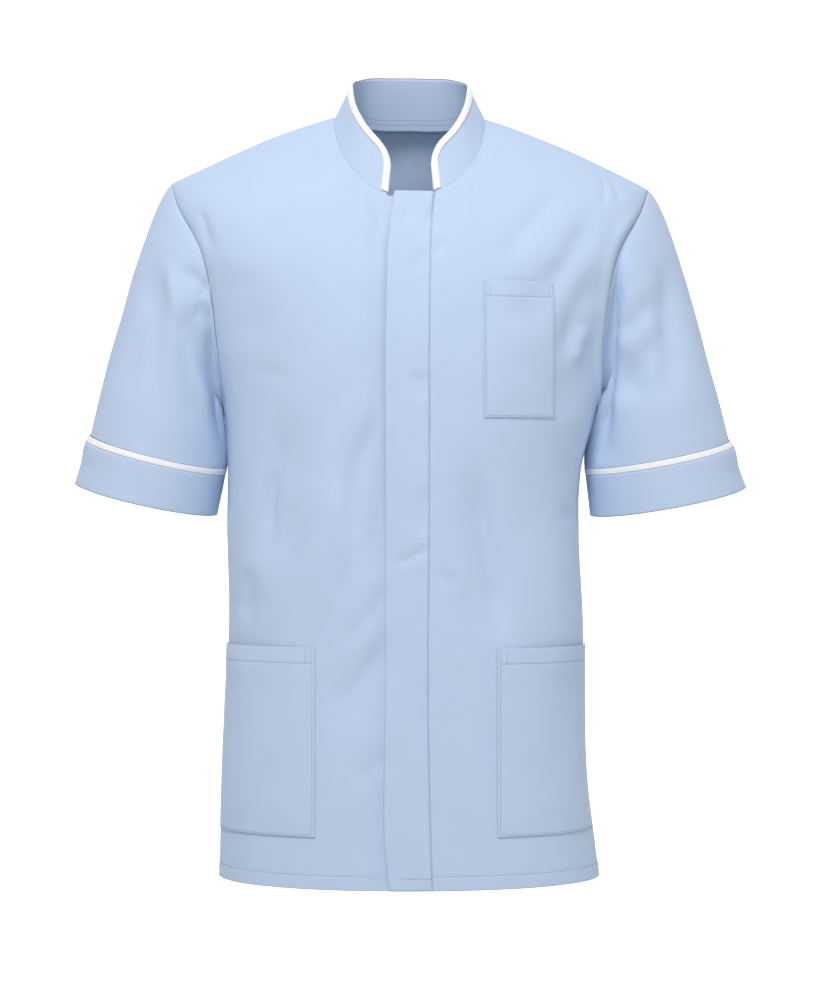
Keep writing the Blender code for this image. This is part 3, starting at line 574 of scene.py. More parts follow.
def put(name, data):
    """A new object in the scene that shows this data."""
    placed = bpy.data.objects.new(name, data)
    bpy.context.scene.collection.objects.link(placed)
    return placed


def lay(node, points, along, wall=WALL, ring=False, turned=False, grows_out=False):
    """A node's cloth: a wall through a grid of points, with the cloth's own metres as its UV."""
    name = node + "_cloth"
    rows, columns = points.shape[:2]
    loft = bmesh.new()
    bmesh.ops.create_grid(loft, x_segments=columns - 1, y_segments=rows - 1, size=1)
    uv = loft.loops.layers.uv.new("grain")
    for vert, place in zip(loft.verts, points.reshape(-1, 3)):
        vert.co = place
    loft.verts.index_update()
    flat = along.reshape(-1, 2)
    for face in loft.faces:
        for loop in face.loops:
            loop[uv].uv = flat[loop.vert.index]
    if ring:
        bmesh.ops.remove_doubles(loft, verts=loft.verts, dist=1e-6)
    if turned:
        bmesh.ops.reverse_faces(loft, faces=loft.faces)
    mesh = bpy.data.meshes.new(name)
    loft.to_mesh(mesh)
    loft.free()
    mesh.shade_smooth()
    piece = put(name, mesh)
    solid = piece.modifiers.new("Cloth wall", "SOLIDIFY")
    solid.thickness = wall
    solid.offset = 1.0 if grows_out else -1.0
    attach(piece, "root")
    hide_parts(node)
    pieces[name] = piece
    print(f"{name}: {rows} x {columns} places, {1000 * wall:.1f} mm thick")


def merged(even, special, apart):
    """Even places and special ones, without the even ones that lie too near to those."""
    special = np.asarray(special, float)
    near = np.min(np.abs(even[:, None] - special), axis=1) < apart
    whole = np.isclose(even, np.round(even))
    return np.sort(np.concatenate([even[whole | ~near], special]))


def steps_between(count, each, close_to_start=(), close_to_end=(), others=()):
    """Fine places along a count of coarse steps, with some more close to the ends."""
    even = np.linspace(0, count, count * each + 1)
    ends = np.concatenate([close_to_start, count - np.array(close_to_end), others])
    return merged(even, ends, LEAST_APART)


CLOSE = (0.06, 0.14, 0.28)  # shares of a step close to a seam
LEAST_APART = 0.02  # of a step
SEAM_ROLL, SEAM_ROLL_WIDTH = 0.0008, 0.0022
GROOVE, GROOVE_WIDTH = 0.00030, 0.0011
PUCKER, PUCKER_WIDTH = 0.00014, 0.0055
PUCKER_WAVES = (0.0083, 0.0131, 0.0470)  # two lengths of ripple, and the length of their swell
HEM_THICKER = 0.0003
HEM_ROWS = (0.04, 0.09, 0.36, 0.41, 0.445, 0.475, 0.505, 0.54, 0.59)  # shares of the first step


def seam_roll(distance):
    """Cloth turns in a little where it goes into a seam."""
    return -SEAM_ROLL * bell(distance, SEAM_ROLL_WIDTH)


def stitched_down(distance, way, depth=GROOVE):
    """A line of stitching draws its groove in, and puckers the cloth beside it."""
    short, long, swell = (2 * np.pi * way / length for length in PUCKER_WAVES)
    ripple = (np.sin(short) + 0.7 * np.sin(long + 1.1)) * (0.6 + 0.4 * np.sin(swell))
    return PUCKER * ripple * bell(distance, PUCKER_WIDTH) - depth * bell(distance, GROOVE_WIDTH)


def hemmed(way, height):
    """The hem is turned up, so it is thicker below its line of stitching."""
    doubled = HEM_THICKER * blend(HEM_STITCH + 0.0012, HEM_STITCH - 0.0006, height)
    return doubled + stitched_down(height - HEM_STITCH, way)


# %% [markdown]
# ## Fronts
#
# Each front runs from the placket to the side seam, the armhole, the shoulder and the neck. Its
# rows go round the body and its columns up it, closer together beside the seams, where the
# cloth turns in. It swells a little beside the sleeve, and the right one goes on under the
# placket, where it steps down to lie clear below it.

# %% Fronts
FRONT_HEIGHT_STEPS = 10
FRONT_COLUMN_STEPS = 5
OVERHANG = {"left": 0.0034, "right": 0.0006}  # how far a front swells beside its sleeve
OVERHANG_AT, OVERHANG_WIDTH = 0.0095, 0.0070  # from the armhole
OVERHANG_Z = (-0.345, -0.27, -0.13, -0.085)
NECK_RIDGE, NECK_RIDGE_AT, NECK_RIDGE_WIDTH = 0.0005, 0.0024, 0.0012
NECK_GROOVE, NECK_GROOVE_WIDTH = 0.0008, 0.0011
NOTCH_STEP, NOTCH_REACH = 0.0015, 0.03
PLACKET_OPEN_Z = (-0.50, -0.36, -0.14, -0.10)  # where the placket's edge stands off most
BESIDE_FOLD, BESIDE_FOLD_WIDTH = 0.0012, 0.003  # the right front sinks away below that edge


def placket_x(edge, z):
    """The x of the placket's folded_x or stitched_x edge at this z."""
    return smooth(z, PLACKET["z"], PLACKET[edge])


def front_height(z):
    """The height at which the middle front reaches this z."""
    return height_where(front_z, np.array(z))


def front_edge(side):
    """x and height up a front's inner edge, from the hem to the neck and along the neckline."""
    if side == "left":
        neck_x, neck_height = neckline_front(COLLAR_LEFT_X)
        rows = ROWS_OF_ARMHOLE - NECK_STEPS
    else:
        neck_x, neck_height = neckline_front(COLLAR_RIGHT_X)
        neck_x = np.insert(neck_x, 0, UNDER_PLACKET_X)
        neck_height = np.insert(neck_height, 0, neck_height[0])
        rows = ROWS_OF_ARMHOLE - NECK_STEPS - 1
    height = np.append(SIDE_HEIGHTS, np.linspace(UNDERARM, neck_height[0], rows + 1)[1:-1])
    if side == "left":
        x = placket_x("stitched_x", front_z(height))
    else:
        x = np.full(len(height), UNDER_PLACKET_X)
    return np.concatenate([x, neck_x]), np.concatenate([height, neck_height])


def front(side):
    """A front's panel, and the points of its armhole and neckline."""
    x, inner_height = front_edge(side)
    inner_angle = angle_of_x(x, inner_height)
    inner_way = np.sign(inner_angle) * way_round(inner_angle, inner_height)
    hole_angle, hole_height = armhole("front")
    outer_height = np.append(SIDE_HEIGHTS, hole_height[1:])
    outer_angle = SIGN[side] * np.append(side_seam(SIDE_HEIGHTS), hole_angle[1:])
    outer_way = SIGN[side] * way_round(outer_angle, outer_height)
    share = np.linspace(0, 1, FRONT_COLUMNS + 1)
    way = inner_way[:, None] + share * (outer_way - inner_way)[:, None]
    height = inner_height[:, None] + share * (outer_height - inner_height)[:, None]
    angle = angle_at_way(way, height)
    count = len(height) - 1
    corners = [ROWS_TO_UNDERARM, count - NECK_STEPS]
    if side == "right":
        corners.insert(1, count - NECK_STEPS - 1)
    below_neck = count - NECK_STEPS - 0.05 - 0.1 * np.arange(16)
    rows = steps_between(count, FRONT_HEIGHT_STEPS, HEM_ROWS, CLOSE, below_neck)
    by_placket = 0.5 + 0.2 * np.arange(15 if side == "right" else 0)
    columns = steps_between(FRONT_COLUMNS, FRONT_COLUMN_STEPS, CLOSE, CLOSE, by_placket)
    angle, height, way = finer_grids((angle, height, way), rows, columns, corners)
    if side == "right":
        neck = inner_height[count - NECK_STEPS]
        x = on_form(angle, height)[..., 0]
        beside = blend(COLLAR_RIGHT_X, COLLAR_RIGHT_X + NOTCH_STEP, x)
        height = height - NECK_NOTCH * beside * blend(neck - NOTCH_REACH, neck, height)
    points, normals = on_cloth(angle, height)
    edge = span(points - points[:, -1:])
    seam = seam_roll(edge) + seam_roll(span(points - points[-1:])) + hemmed(way, height)
    neck_edge = points[rows >= count - NECK_STEPS, 0]
    from_neck = np.min([span(points - place) for place in neck_edge], axis=0)
    seam = seam + NECK_RIDGE * bell(from_neck - NECK_RIDGE_AT, NECK_RIDGE_WIDTH)
    seam = seam - NECK_GROOVE * bell(from_neck, NECK_GROOVE_WIDTH)
    x, z = points[..., 0], points[..., 2]
    swell = OVERHANG[side] * bell(edge - OVERHANG_AT, OVERHANG_WIDTH)
    seam = seam + swell * window(z, OVERHANG_Z)
    if side == "right":
        seam = seam - STEP_DEPTH * blend(STEP_TO_X, STEP_FROM_X, x)
        from_fold = x - placket_x("folded_x", np.minimum(z, PLACKET_TOP_Z))
        sunk = BESIDE_FOLD * window(z, PLACKET_OPEN_Z) * bell(from_fold, BESIDE_FOLD_WIDTH)
        seam = seam - sunk
    else:
        beside_placket = (rows < count - NECK_STEPS)[:, None]
        seam = seam + stitched_down(way - way[:, :1], height, 0.0) * beside_placket
    points = points + seam[..., None] * normals
    along = np.stack([way, height], axis=-1)
    lay("front_" + side, points, along, turned=side == "right")
    from_hole = rows >= ROWS_TO_UNDERARM
    from_neck = rows >= count - NECK_STEPS
    return points[from_hole, -1], points[from_neck, 0]


FRONT_SEAMS = {side: front(side) for side in ("left", "right")}

# %% [markdown]
# ## Placket
#
# The placket is a folded strip, sewn down along one edge, that hides the fastening. It could be
# a raised band of the left front, but it is a cut of its own with a free folded edge. So it is
# a panel of its own, and that edge is rounded and stands a little off the front below it.

# %% Placket
PLACKET_STEPS = 9
PLACKET_HEM_DROP = 0.0016  # the hem is stitched a little lower here
PLACKET_STITCH_INSET = 0.001
PLACKET_LIFT, PLACKET_LIFT_WIDTH = 0.0007, 0.012  # how far its free edge stands off
PLACKET_TURN, PLACKET_TURN_WIDTH = 0.0012, 0.0025  # how far that edge is rounded


def placket():
    """The folded strip over the centre front. Its free edge is rounded, as a fold is."""
    height = np.linspace(0, front_height(PLACKET_TOP_Z), 300)
    z = front_z(height)
    folded_x, stitched_x = placket_x("folded_x", z), placket_x("stitched_x", z)
    share = steps_between(PLACKET_STEPS, 2, (0.1, 0.22, 0.4), (0.1, 0.22, 0.4)) / PLACKET_STEPS
    x = folded_x[:, None] + share * (stitched_x - folded_x)[:, None]
    height = np.repeat(height[:, None], len(share), axis=1)
    angle = angle_of_x(x, height)
    from_fold = x - folded_x[:, None]
    from_stitch = stitched_x[:, None] - x
    turn_in = -PLACKET_TURN * np.clip(1 - from_fold / PLACKET_TURN_WIDTH, 0, 1) ** 2
    open_there = 1 + window(z[:, None], PLACKET_OPEN_Z)
    stands_off = PLACKET_LIFT * open_there * bell(from_fold, PLACKET_LIFT_WIDTH)
    relief = turn_in + stands_off + 0.6 * seam_roll(from_stitch)
    relief = relief + stitched_down(from_stitch - PLACKET_STITCH_INSET, height)
    points, _ = on_cloth(angle, height, relief + hemmed(x, height + PLACKET_HEM_DROP))
    lay("placket", points, np.stack([x, height], axis=-1))


placket()

# %% [markdown]
# ## Back
#
# The back is one panel from side seam to side seam, made as the fronts are. Its middle columns
# end at the neckline and its side columns at the shoulder seams. The tips of its armholes are
# the fronts' own points, so that the shoulder seams close.

# %% Back
BACK_COLUMN_STEPS = 5


def back():
    """The back, one panel, and the points of its armholes and neckline."""
    hole_angle, hole_height = armhole("back")
    end_height = np.append(SIDE_HEIGHTS, hole_height[1:])
    end_angle = np.append(side_seam(SIDE_HEIGHTS), hole_angle[1:])
    end_way = way_round(end_angle, end_height, start=np.pi)[:, None]
    neck_x, neck_height = neckline_back()
    neck_angle = angle_of_x(neck_x, neck_height, back=True)
    neck_way = np.sign(neck_x) * way_round(neck_angle, neck_height, start=np.pi)
    rise = np.arange(-ROWS_TO_UNDERARM, ROWS_OF_ARMHOLE + 1)[:, None] / ROWS_OF_ARMHOLE
    rise = np.clip(rise, 0, 1)
    share = NAPE_STEPS / (NAPE_STEPS + 2 * BACK_SIDE_COLUMNS)
    middle = share * np.linspace(1, -1, NAPE_STEPS + 1) * end_way
    middle = middle + rise**2 * (neck_way - middle)
    side_share = np.linspace(0, 1, BACK_SIDE_COLUMNS + 1)[:-1]
    side = end_way + side_share * (middle[:, :1] - end_way)
    way = np.concatenate([side, middle, -side[:, ::-1]], axis=1)
    low = np.minimum(end_height, UNDERARM)[:, None]
    middle_height = low + rise * (neck_height - UNDERARM)
    side_height = end_height[:, None] + side_share * (middle_height[:, :1] - end_height[:, None])
    height = np.concatenate([side_height, middle_height, side_height[:, ::-1]], axis=1)
    angle = angle_at_way(way, height, back=True)
    rows = steps_between(len(height) - 1, FRONT_HEIGHT_STEPS, HEM_ROWS, CLOSE)
    count = NAPE_STEPS + 2 * BACK_SIDE_COLUMNS
    columns = steps_between(count, BACK_COLUMN_STEPS, CLOSE, CLOSE)
    neck_ends = [BACK_SIDE_COLUMNS, BACK_SIDE_COLUMNS + NAPE_STEPS]
    corners = [ROWS_TO_UNDERARM]
    angle, height, way = finer_grids((angle, height, way), rows, columns, corners, neck_ends)
    points, normals = on_cloth(angle, height)
    edges = points[:, :1], points[:, -1:], points[-1:]
    seam = sum(seam_roll(span(points - edge)) for edge in edges)
    points = points + (seam + hemmed(way, height))[..., None] * normals
    for side, end in (("left", 0), ("right", -1)):
        points[-1, end] = FRONT_SEAMS[side][0][-1]
    lay("back", points, np.stack([way, height], axis=-1))
    from_hole = rows >= ROWS_TO_UNDERARM
    on_neck = (columns >= neck_ends[0]) & (columns <= neck_ends[1])
    return {"left": points[from_hole, 0], "right": points[from_hole, -1]}, points[-1, on_neck]


BACK_HOLES, BACK_NECK = back()

# %% [markdown]
# ## Sleeves and cuffs
#
# A set-in sleeve is a tube, sewn into the armhole, and its under side lies against the side of
# the tunic. It could be bridged between two loops, but would come out straight and pinched. So
# each line down it is a cubic curve: it starts from the armhole's own points, turns down softly,
# and ends in a tilted ring. The white trim and the cuff go on from there.

# %% Sleeves
# Shares round and down at both ends of a fold, its half width as a share, and its depth
SLEEVE_FOLDS = {
    "left": (
        (0.10, 0.30, 0.17, 0.80, 0.050, 0.0040),
        (0.36, 0.25, 0.24, 0.75, 0.050, 0.0040),
        (0.70, 0.20, 0.78, 0.80, 0.055, 0.0045),
    ),
    "right": (
        (0.10, 0.30, 0.13, 0.85, 0.045, 0.0035),
        (0.22, 0.35, 0.38, 0.80, 0.050, 0.0045),
        (0.68, 0.20, 0.80, 0.80, 0.055, 0.0045),
    ),
}
CREASES = {
    "left": {
        "front": in_millimetres(
            (248, -182, 196, -233, 4, 12, 4.2),
            (247, -213, 196, -300, 4, 14, 4.8),
            (252, -130, 245, -310, 7, 13, 3.6),
            (206.5, -115, 183, -370, 0, 8, 9),
            (193, -285, 193, -360, 0, 11, 4),
        ),
        "back": in_millimetres(
            (244, -190, 205, -250, 2, 9.5, 4.2),
            (250, -170, 248, -300, 4, 12, 3.2),
            (214, -120, 188, -330, 2, 8, 5),
        ),
    },
    "right": {
        "front": in_millimetres(
            (-227, -157, -190, -192, 0, 8, 4.2),
            (-236, -186, -182, -294, 0, 10, 5.2),
            (-249.2, -130, -249.2, -318, 0, 12, 3.6),
            (-239, -150, -227, -226, 0, 8, -3),
            (-216, -202, -188, -212, 0, 10, 2.2),
            (-194, -190, -182, -360, 1, 10, 6.2),
        ),
        "back": in_millimetres(
            (-242, -185, -199, -245, -2, 9, 4.2),
            (-250, -160, -248, -305, -3, 12, 3.4),
            (-208, -140, -188, -340, -2, 8, 5),
        ),
    },
}
SLEEVE_ROWS = 95
SLEEVE_WAVES, CUFF_WAVES = (0.06, 0.0004, 9, 5), (0.05, 0.0003, 8, 6)
FLARE, FLARE_AT, FLARE_WIDTH = 0.0030, 0.22, 0.26  # shares down the cuff
PRESSED, PRESSED_WIDTH = 0.0012, 0.09  # the under side bulges a little
CUFF_GIRTH = 0.43
SHOULDER_TILT = np.radians(24)
TIP_CLEAR = 0.0035  # the armhole's ring is straight this close to its tip


def cuff_ring(side, down, share):
    """A ring of a cuff, from the trim's top (down is 0) to its edge (1), top, front, under."""
    first, last = np.array(CUFF_RINGS[side])
    *middle, half_width, half_depth, tilt = first + down * (last - first)
    tilt, drop = np.radians(tilt), np.radians(CUFF_DROP)
    turn = 2 * np.pi * share[:, None]
    across = SIGN[side] * np.cos(tilt) * ACROSS + np.sin(tilt) * UP
    forward = -np.cos(drop) * BACKWARD - np.sin(drop) * UP
    return middle + half_width * np.cos(turn) * across + half_depth * np.sin(turn) * forward


def flare(down, share):
    """The turned-up end of a sleeve stands out a little at its outer side."""
    top = (0.5 + 0.5 * np.cos(2 * np.pi * share)) ** 3
    return FLARE * bell(down - FLARE_AT, FLARE_WIDTH) * top


def ring_normals(grid):
    """Unit normals out of a tube whose rows run down and whose last column is its first."""
    along = np.gradient(grid, axis=0)
    closed = np.concatenate([grid[:, -2:-1], grid, grid[:, 1:2]], axis=1)
    around = closed[:, 2:] - closed[:, :-2]
    normals = unit(np.cross(around, along))
    away = grid - grid.mean(axis=1, keepdims=True)
    return normals * np.sign((normals * away).sum(axis=-1).mean())


def grain_of(points):
    """UV metres of a grid: the distance along its middle row, and down its first column."""
    across = ways_along(points[len(points) // 2])
    down = ways_along(points[:, 0])
    return np.stack(np.meshgrid(across, down), axis=-1)


def sleeve(side, hole):
    """The sleeve: a tube from the armhole's own points down to the cuff's trim."""
    share = np.linspace(0, 1, len(hole))
    top = (0.5 + 0.5 * np.cos(2 * np.pi * share))[:, None]
    under = (1 - top) ** 3
    hem = cuff_ring(side, 0.0, share)
    chord = span(hem - hole)
    leave = SIGN[side] * ACROSS * (0.9 - 0.4 * under)
    leave = leave - SLEEVE_PUFF * BACKWARD * np.sin(2 * np.pi * share)[:, None]
    leave = unit(leave - UP * (0.35 + 0.15 * top + 0.5 * under)) * chord[:, None]
    leave *= SLEEVE_TURN["under"] + (SLEEVE_TURN["top"] - SLEEVE_TURN["under"]) * top
    arrive = unit(cuff_ring(side, 1.0, share) - hem) - SLEEVE_HANG * UP
    arrive = unit(arrive) * chord[:, None]
    rows = np.unique(np.concatenate([np.linspace(0, 1, SLEEVE_ROWS), [0.003, 0.006, 0.996]]))
    down = rows[:, None]
    ways = ways_along(hole)
    from_tip = np.minimum(ways, ways[-1] - ways)[:, None]
    over_tip = SIGN[side] * np.sin(SHOULDER_TILT) * ACROSS + np.cos(SHOULDER_TILT) * UP
    start = hole - seam_roll(from_tip) * over_tip * blend(0.0, 0.04, down[..., None])
    points = hermite(down[..., None], start, hem, leave, arrive)
    normals = ring_normals(points)
    moved = waves(points, *SLEEVE_WAVES) * blend(0.0, 0.08, down)
    for round0, down0, round1, down1, half_width, depth in SLEEVE_FOLDS[side]:
        along = (down - down0) / (down1 - down0)
        aside = share - round0 - (round1 - round0) * along
        moved = moved + trough(along, aside, half_width, depth)
    moved = moved + folds_on(points, facing(normals), CREASES[side]) * blend(0.0, 0.06, down)
    pressed = PRESSED * bell(share - 0.5, PRESSED_WIDTH) * np.sin(np.pi * down) ** 0.7
    above_trim = (1 - down) * chord
    moved = moved + pressed + flare(-above_trim / CUFF_LENGTH, share)
    moved = moved + 1.6 * stitched_down(above_trim, share * CUFF_GIRTH, 0.0)
    moved = moved * blend(1.0, 0.93, down) + seam_roll(chord * down)
    points = points + moved[..., None] * normals
    lay("sleeve_" + side, points, grain_of(points), ring=True, turned=side == "right")
    return share


def cuff(side, share):
    """The flat white trim and the plain band below it."""
    trim_end, gap = TRIM_WIDTH / CUFF_LENGTH, SEAM_GAP / CUFF_LENGTH

    def band(name, downs, wall, lift):
        rows = np.array([cuff_ring(side, down, share) for down in downs])
        moved = lift(rows) + flare(downs[:, None], share)
        rows = rows + moved[..., None] * ring_normals(rows)
        lay(name + side, rows, grain_of(rows), wall, ring=True, turned=side == "right")

    swell = TRIM_RISE * (0.4 + 0.6 * np.sin(np.pi * np.linspace(0, 1, 7)) ** 0.5)
    downs = np.linspace(gap, trim_end, 7)
    band("cuff_trim_", downs, TRIM_WALL + TRIM_RISE, lambda rows: swell[:, None])
    downs = np.linspace(trim_end + gap, 1.0, 20)
    freely = blend(trim_end, 0.4, downs)[:, None]
    band("cuff_", downs, WALL, lambda rows: waves(rows, *CUFF_WAVES) * freely)


for side in ("left", "right"):
    in_front = FRONT_SEAMS[side][0][::-1]
    tip = in_front[:1]
    ring = np.concatenate([in_front, BACK_HOLES[side][1:]])
    cuff(side, sleeve(side, np.concatenate([tip, ring[span(ring - tip) > TIP_CLEAR], tip])))

# %% [markdown]
# ## Collar
#
# A stand collar is a stiff band, cut flat and bent round the neck, so it stays straight up and
# down. A curve with a bevel could sweep it, but its height and lean change on the way. So it is
# a ruled surface: straight lines up from the neckline. Its trim follows the free edge: up one
# front edge, round the corner, along the top and down the other side.

# %% Collar
COLLAR_STEP = 0.0022
COLLAR_TUCK = 0.0015  # how far its foot goes down into the neck seam
TRIM_OFF, TRIM_EDGE_DROP = 0.0004, 0.0002  # how far the trim lies off the collar
TRIM_TURN = ((0.0003, -0.0003), (0.0004, -0.0009), (0.0003, -0.0016))  # beyond the edge, out


class StandCollar:
    """The collar as a ruled surface: straight lines up from the places along the neckline."""

    def __init__(self, seam):
        ways = ways_along(seam)
        self.end = ways[-1]
        self.ways = np.linspace(0, self.end, int(self.end / COLLAR_STEP))
        self.base = read_line(self.ways, ways, seam)
        away = unit((self.base - COLLAR_MIDDLE_Y * BACKWARD) * (ACROSS + BACKWARD))
        angle = np.degrees(np.arccos(-away[:, 1]))
        lean = smooth(angle, COLLAR_HEIGHT["angle"], COLLAR_HEIGHT["lean"])[:, None]
        upright = np.sqrt(1 - lean**2)
        self.rise = upright * UP - lean * away
        self.out = upright * away + lean * UP
        self.full = smooth(angle, COLLAR_HEIGHT["angle"], COLLAR_HEIGHT["height"])

    def at(self, way, up, off=0.0):
        """The outer face's points at these ways along the seam and distances up it."""
        up, off = np.asarray(up)[..., None], np.asarray(off)[..., None]
        base, rise = (read_line(way, self.ways, part) for part in (self.base, self.rise))
        return base + up * rise + off * self.out_at(way)

    def out_at(self, way):
        """The outer face's normals at these ways."""
        return read_line(way, self.ways, self.out)


def collar(seam):
    """The collar's band and its trim."""
    band = StandCollar(seam)
    from_end = np.minimum(band.ways, band.end - band.ways)
    inset = np.clip(CORNER_RADIUS - from_end, 0, CORNER_RADIUS)
    tops = band.full - CORNER_RADIUS + np.sqrt(CORNER_RADIUS**2 - inset**2)
    share = np.linspace(0, 1, 24)[:, None]
    ups = share * (tops + COLLAR_TUCK) - COLLAR_TUCK
    ways = np.broadcast_to(band.ways, ups.shape)
    points = band.at(ways, ups)
    lay("collar", points, np.stack([ways, ups], axis=-1), COLLAR_WALL)

    straight = band.full[0] - CORNER_RADIUS
    outer, inner = [], []
    for up in np.linspace(3 * SEAM_GAP, straight, 12)[:-1]:
        outer.append((0.0, up))
        inner.append((TRIM_WIDTH, up))
    for turn in np.radians(np.linspace(0, 90, 18)):
        for radius, line in ((CORNER_RADIUS, outer), (CORNER_RADIUS - TRIM_WIDTH, inner)):
            line.append((CORNER_RADIUS - radius * np.cos(turn), straight + radius * np.sin(turn)))
    corner = len(outer)
    middle = (band.ways > CORNER_RADIUS * 1.1) & (band.ways < band.end - CORNER_RADIUS * 1.1)
    outer += list(zip(band.ways[middle], band.full[middle]))
    inner += list(zip(band.ways[middle], band.full[middle] - TRIM_WIDTH))
    for line in (outer, inner):
        line += [(band.end - way, up) for way, up in line[:corner][::-1]]
    edges = np.array([inner, outer])
    across = np.linspace(0, 1, 7)[:, None, None]
    lines = edges[0] + across * (edges[1] - edges[0])
    off = TRIM_OFF - TRIM_EDGE_DROP * np.abs(2 * across[..., 0] - 1) ** 4
    points = band.at(lines[..., 0], lines[..., 1], off=off)
    beyond = unit(points[-1] - points[-2])
    out = band.out_at(lines[-1, :, 0])
    turned_over = [points[-1] + reach * beyond + rise * out for reach, rise in TRIM_TURN]
    points = np.concatenate([points, turned_over])
    lay("collar_trim", points, grain_of(points), TRIM_WALL, grows_out=True)
    return band


neck_left = FRONT_SEAMS["left"][1]
neck_right = FRONT_SEAMS["right"][1][::-1]
BAND = collar(np.concatenate([neck_left[:-1], BACK_NECK, neck_right[1:]]))
print(f"The collar is {BAND.end:.3f} m long at its foot.")

# %% [markdown]
# ## Pockets
#
# The pockets are patches sewn onto the fronts. A flat box would have to be wrapped onto the
# curved cloth below it. These read the same form and the same folds as the front does, so they
# follow it closely. Their mouths stand a little ajar, and their sewn edges lie close.

# %% Pockets
POCKET_LIFT = 0.0004
POCKET_LOOSE = 0.0012  # how much more it lies off, away from its sewn edges
POCKET_INSET, POCKET_HEM = 0.0017, 0.0150
POCKET_END = 0.004  # radians from its outer edge to the side seam
LOWER_WIDTH, LOWER_LENGTH = 0.1000, 0.1830
CHEST_WIDTH, CHEST_LENGTH = 0.0694, 0.1320


def pocket_relief(across, up, width, height, ajar):
    """How far a patch lies out from the cloth it is sewn to."""
    edge = np.minimum(np.minimum(across, 1 - across) * width, up * height)
    loose = POCKET_LOOSE * blend(0.002, 0.030, edge)
    mouth = ajar * blend(0.70, 1.0, up) * np.sin(np.pi * across)
    return POCKET_LIFT + loose + mouth


def sewn_edges(across, up, width, length, both_sides):
    """How the stitching near a patch's edges and below its mouth draws it in."""
    lines = [up * length - POCKET_INSET, (1 - up) * length - POCKET_HEM]
    lines.append(across * width - POCKET_INSET)
    if both_sides:
        lines.append((1 - across) * width - POCKET_INSET)
    way = across * width + up * length
    return sum(stitched_down(line, way) for line in lines)


def on_lower_pocket(side, across, up, off=0.0):
    """Places on a pocket that runs from its inner edge out to the side seam, and normals."""
    inner_x, bottom_z, top_z, ajar = LOWER_POCKETS[side]
    bottom, top = front_height(bottom_z), front_height(top_z)
    across, up = np.broadcast_arrays(across, up)
    height = bottom + up * (top - bottom)
    inner = angle_of_x(np.full(height.shape, inner_x), height)
    outer = SIGN[side] * (side_seam(height) - POCKET_END)
    relief = pocket_relief(across, up, LOWER_WIDTH, LOWER_LENGTH, ajar)
    relief = relief + sewn_edges(across, up, LOWER_WIDTH, LOWER_LENGTH, False)
    return on_cloth(inner + across * (outer - inner), height, relief + off)


def on_chest_pocket(across, up, off=0.0):
    """Places on the wearer's left chest pocket, and normals."""
    across, up = np.broadcast_arrays(across, up)
    x = CHEST_POCKET_X[0] + across * np.diff(CHEST_POCKET_X)
    height = height_at(x, CHEST_POCKET_Z[0] + up * np.diff(CHEST_POCKET_Z))
    relief = pocket_relief(across, up, CHEST_WIDTH, CHEST_LENGTH, CHEST_POCKET_AJAR)
    relief = relief + sewn_edges(across, up, CHEST_WIDTH, CHEST_LENGTH, True)
    return on_cloth(angle_of_x(x, height), height, relief + off)


def patch_steps(count, inset, hem=None):
    """Even places across a patch, with some more beside its stitching."""
    beside = np.array([0.5, 1.0, 1.5, 2.0]) * inset
    steps = [beside, 1 - beside]
    if hem:
        steps.append(1 - hem + np.array([-1.0, -0.5, 0.0, 0.5, 1.0]) * inset)
    return merged(np.linspace(0, 1, count), np.concatenate(steps), 0.35 / count)


# Where a pocket's places are, its width and length, whether both sides are stitched, and its grid
LOWER = (LOWER_WIDTH, LOWER_LENGTH, False, (76, 44))
PATCHES = {
    "pocket_right": (partial(on_lower_pocket, "right"), *LOWER),
    "pocket_left": (partial(on_lower_pocket, "left"), *LOWER),
    "pocket_chest": (on_chest_pocket, CHEST_WIDTH, CHEST_LENGTH, True, (60, 32)),
}
for name, (place, width, length, _, counts) in PATCHES.items():
    up = patch_steps(counts[0], POCKET_INSET / length, POCKET_HEM / length)[:, None]
    across = patch_steps(counts[1], POCKET_INSET / width)[None]
    points, _ = place(across, up)
    turned = name == "pocket_right"
    lay(name, points, grain_of(points), POCKET_WALL, turned=turned, grows_out=True)

# %% [markdown]
# ## Stitching
#
# Each stitch is a short grain of thread that lies on the cloth: a small sphere, drawn out. A
# picture of stitches on the cloth would lie flat, and show no light side and no shadow. Lines
# of them run down the placket, above the hem, round the pockets and along the inside of the
# collar's foot. A small box of stitches holds each pocket's mouth at its corners.

# %% Stitching
STITCH_LENGTH, STITCH_PITCH, THREAD = 0.0020, 0.0030, 0.00030
CORNER_BOX = 0.0038
PLACKET_ENDS = (0.003, 0.002)  # the placket's line stops short of the hem and the neck
HEM_BESIDE_FOLD = 0.004  # radians that the hem's lines keep from the placket's fold
COLLAR_LINES = (0.0060, 0.0105)  # up from the collar's foot
COLLAR_ENDS = 0.012  # its lines stop this short of its ends


threads = {}


def one_stitch():
    """The shape of a stitch, as places from -1 to 1, and the faces between them."""
    loft = bmesh.new()
    bmesh.ops.create_uvsphere(loft, u_segments=6, v_segments=4, radius=1)
    loft.verts.index_update()
    places = np.array([vert.co[:] for vert in loft.verts])
    faces = [[vert.index for vert in face.verts] for face in loft.faces]
    loft.free()
    return places, faces


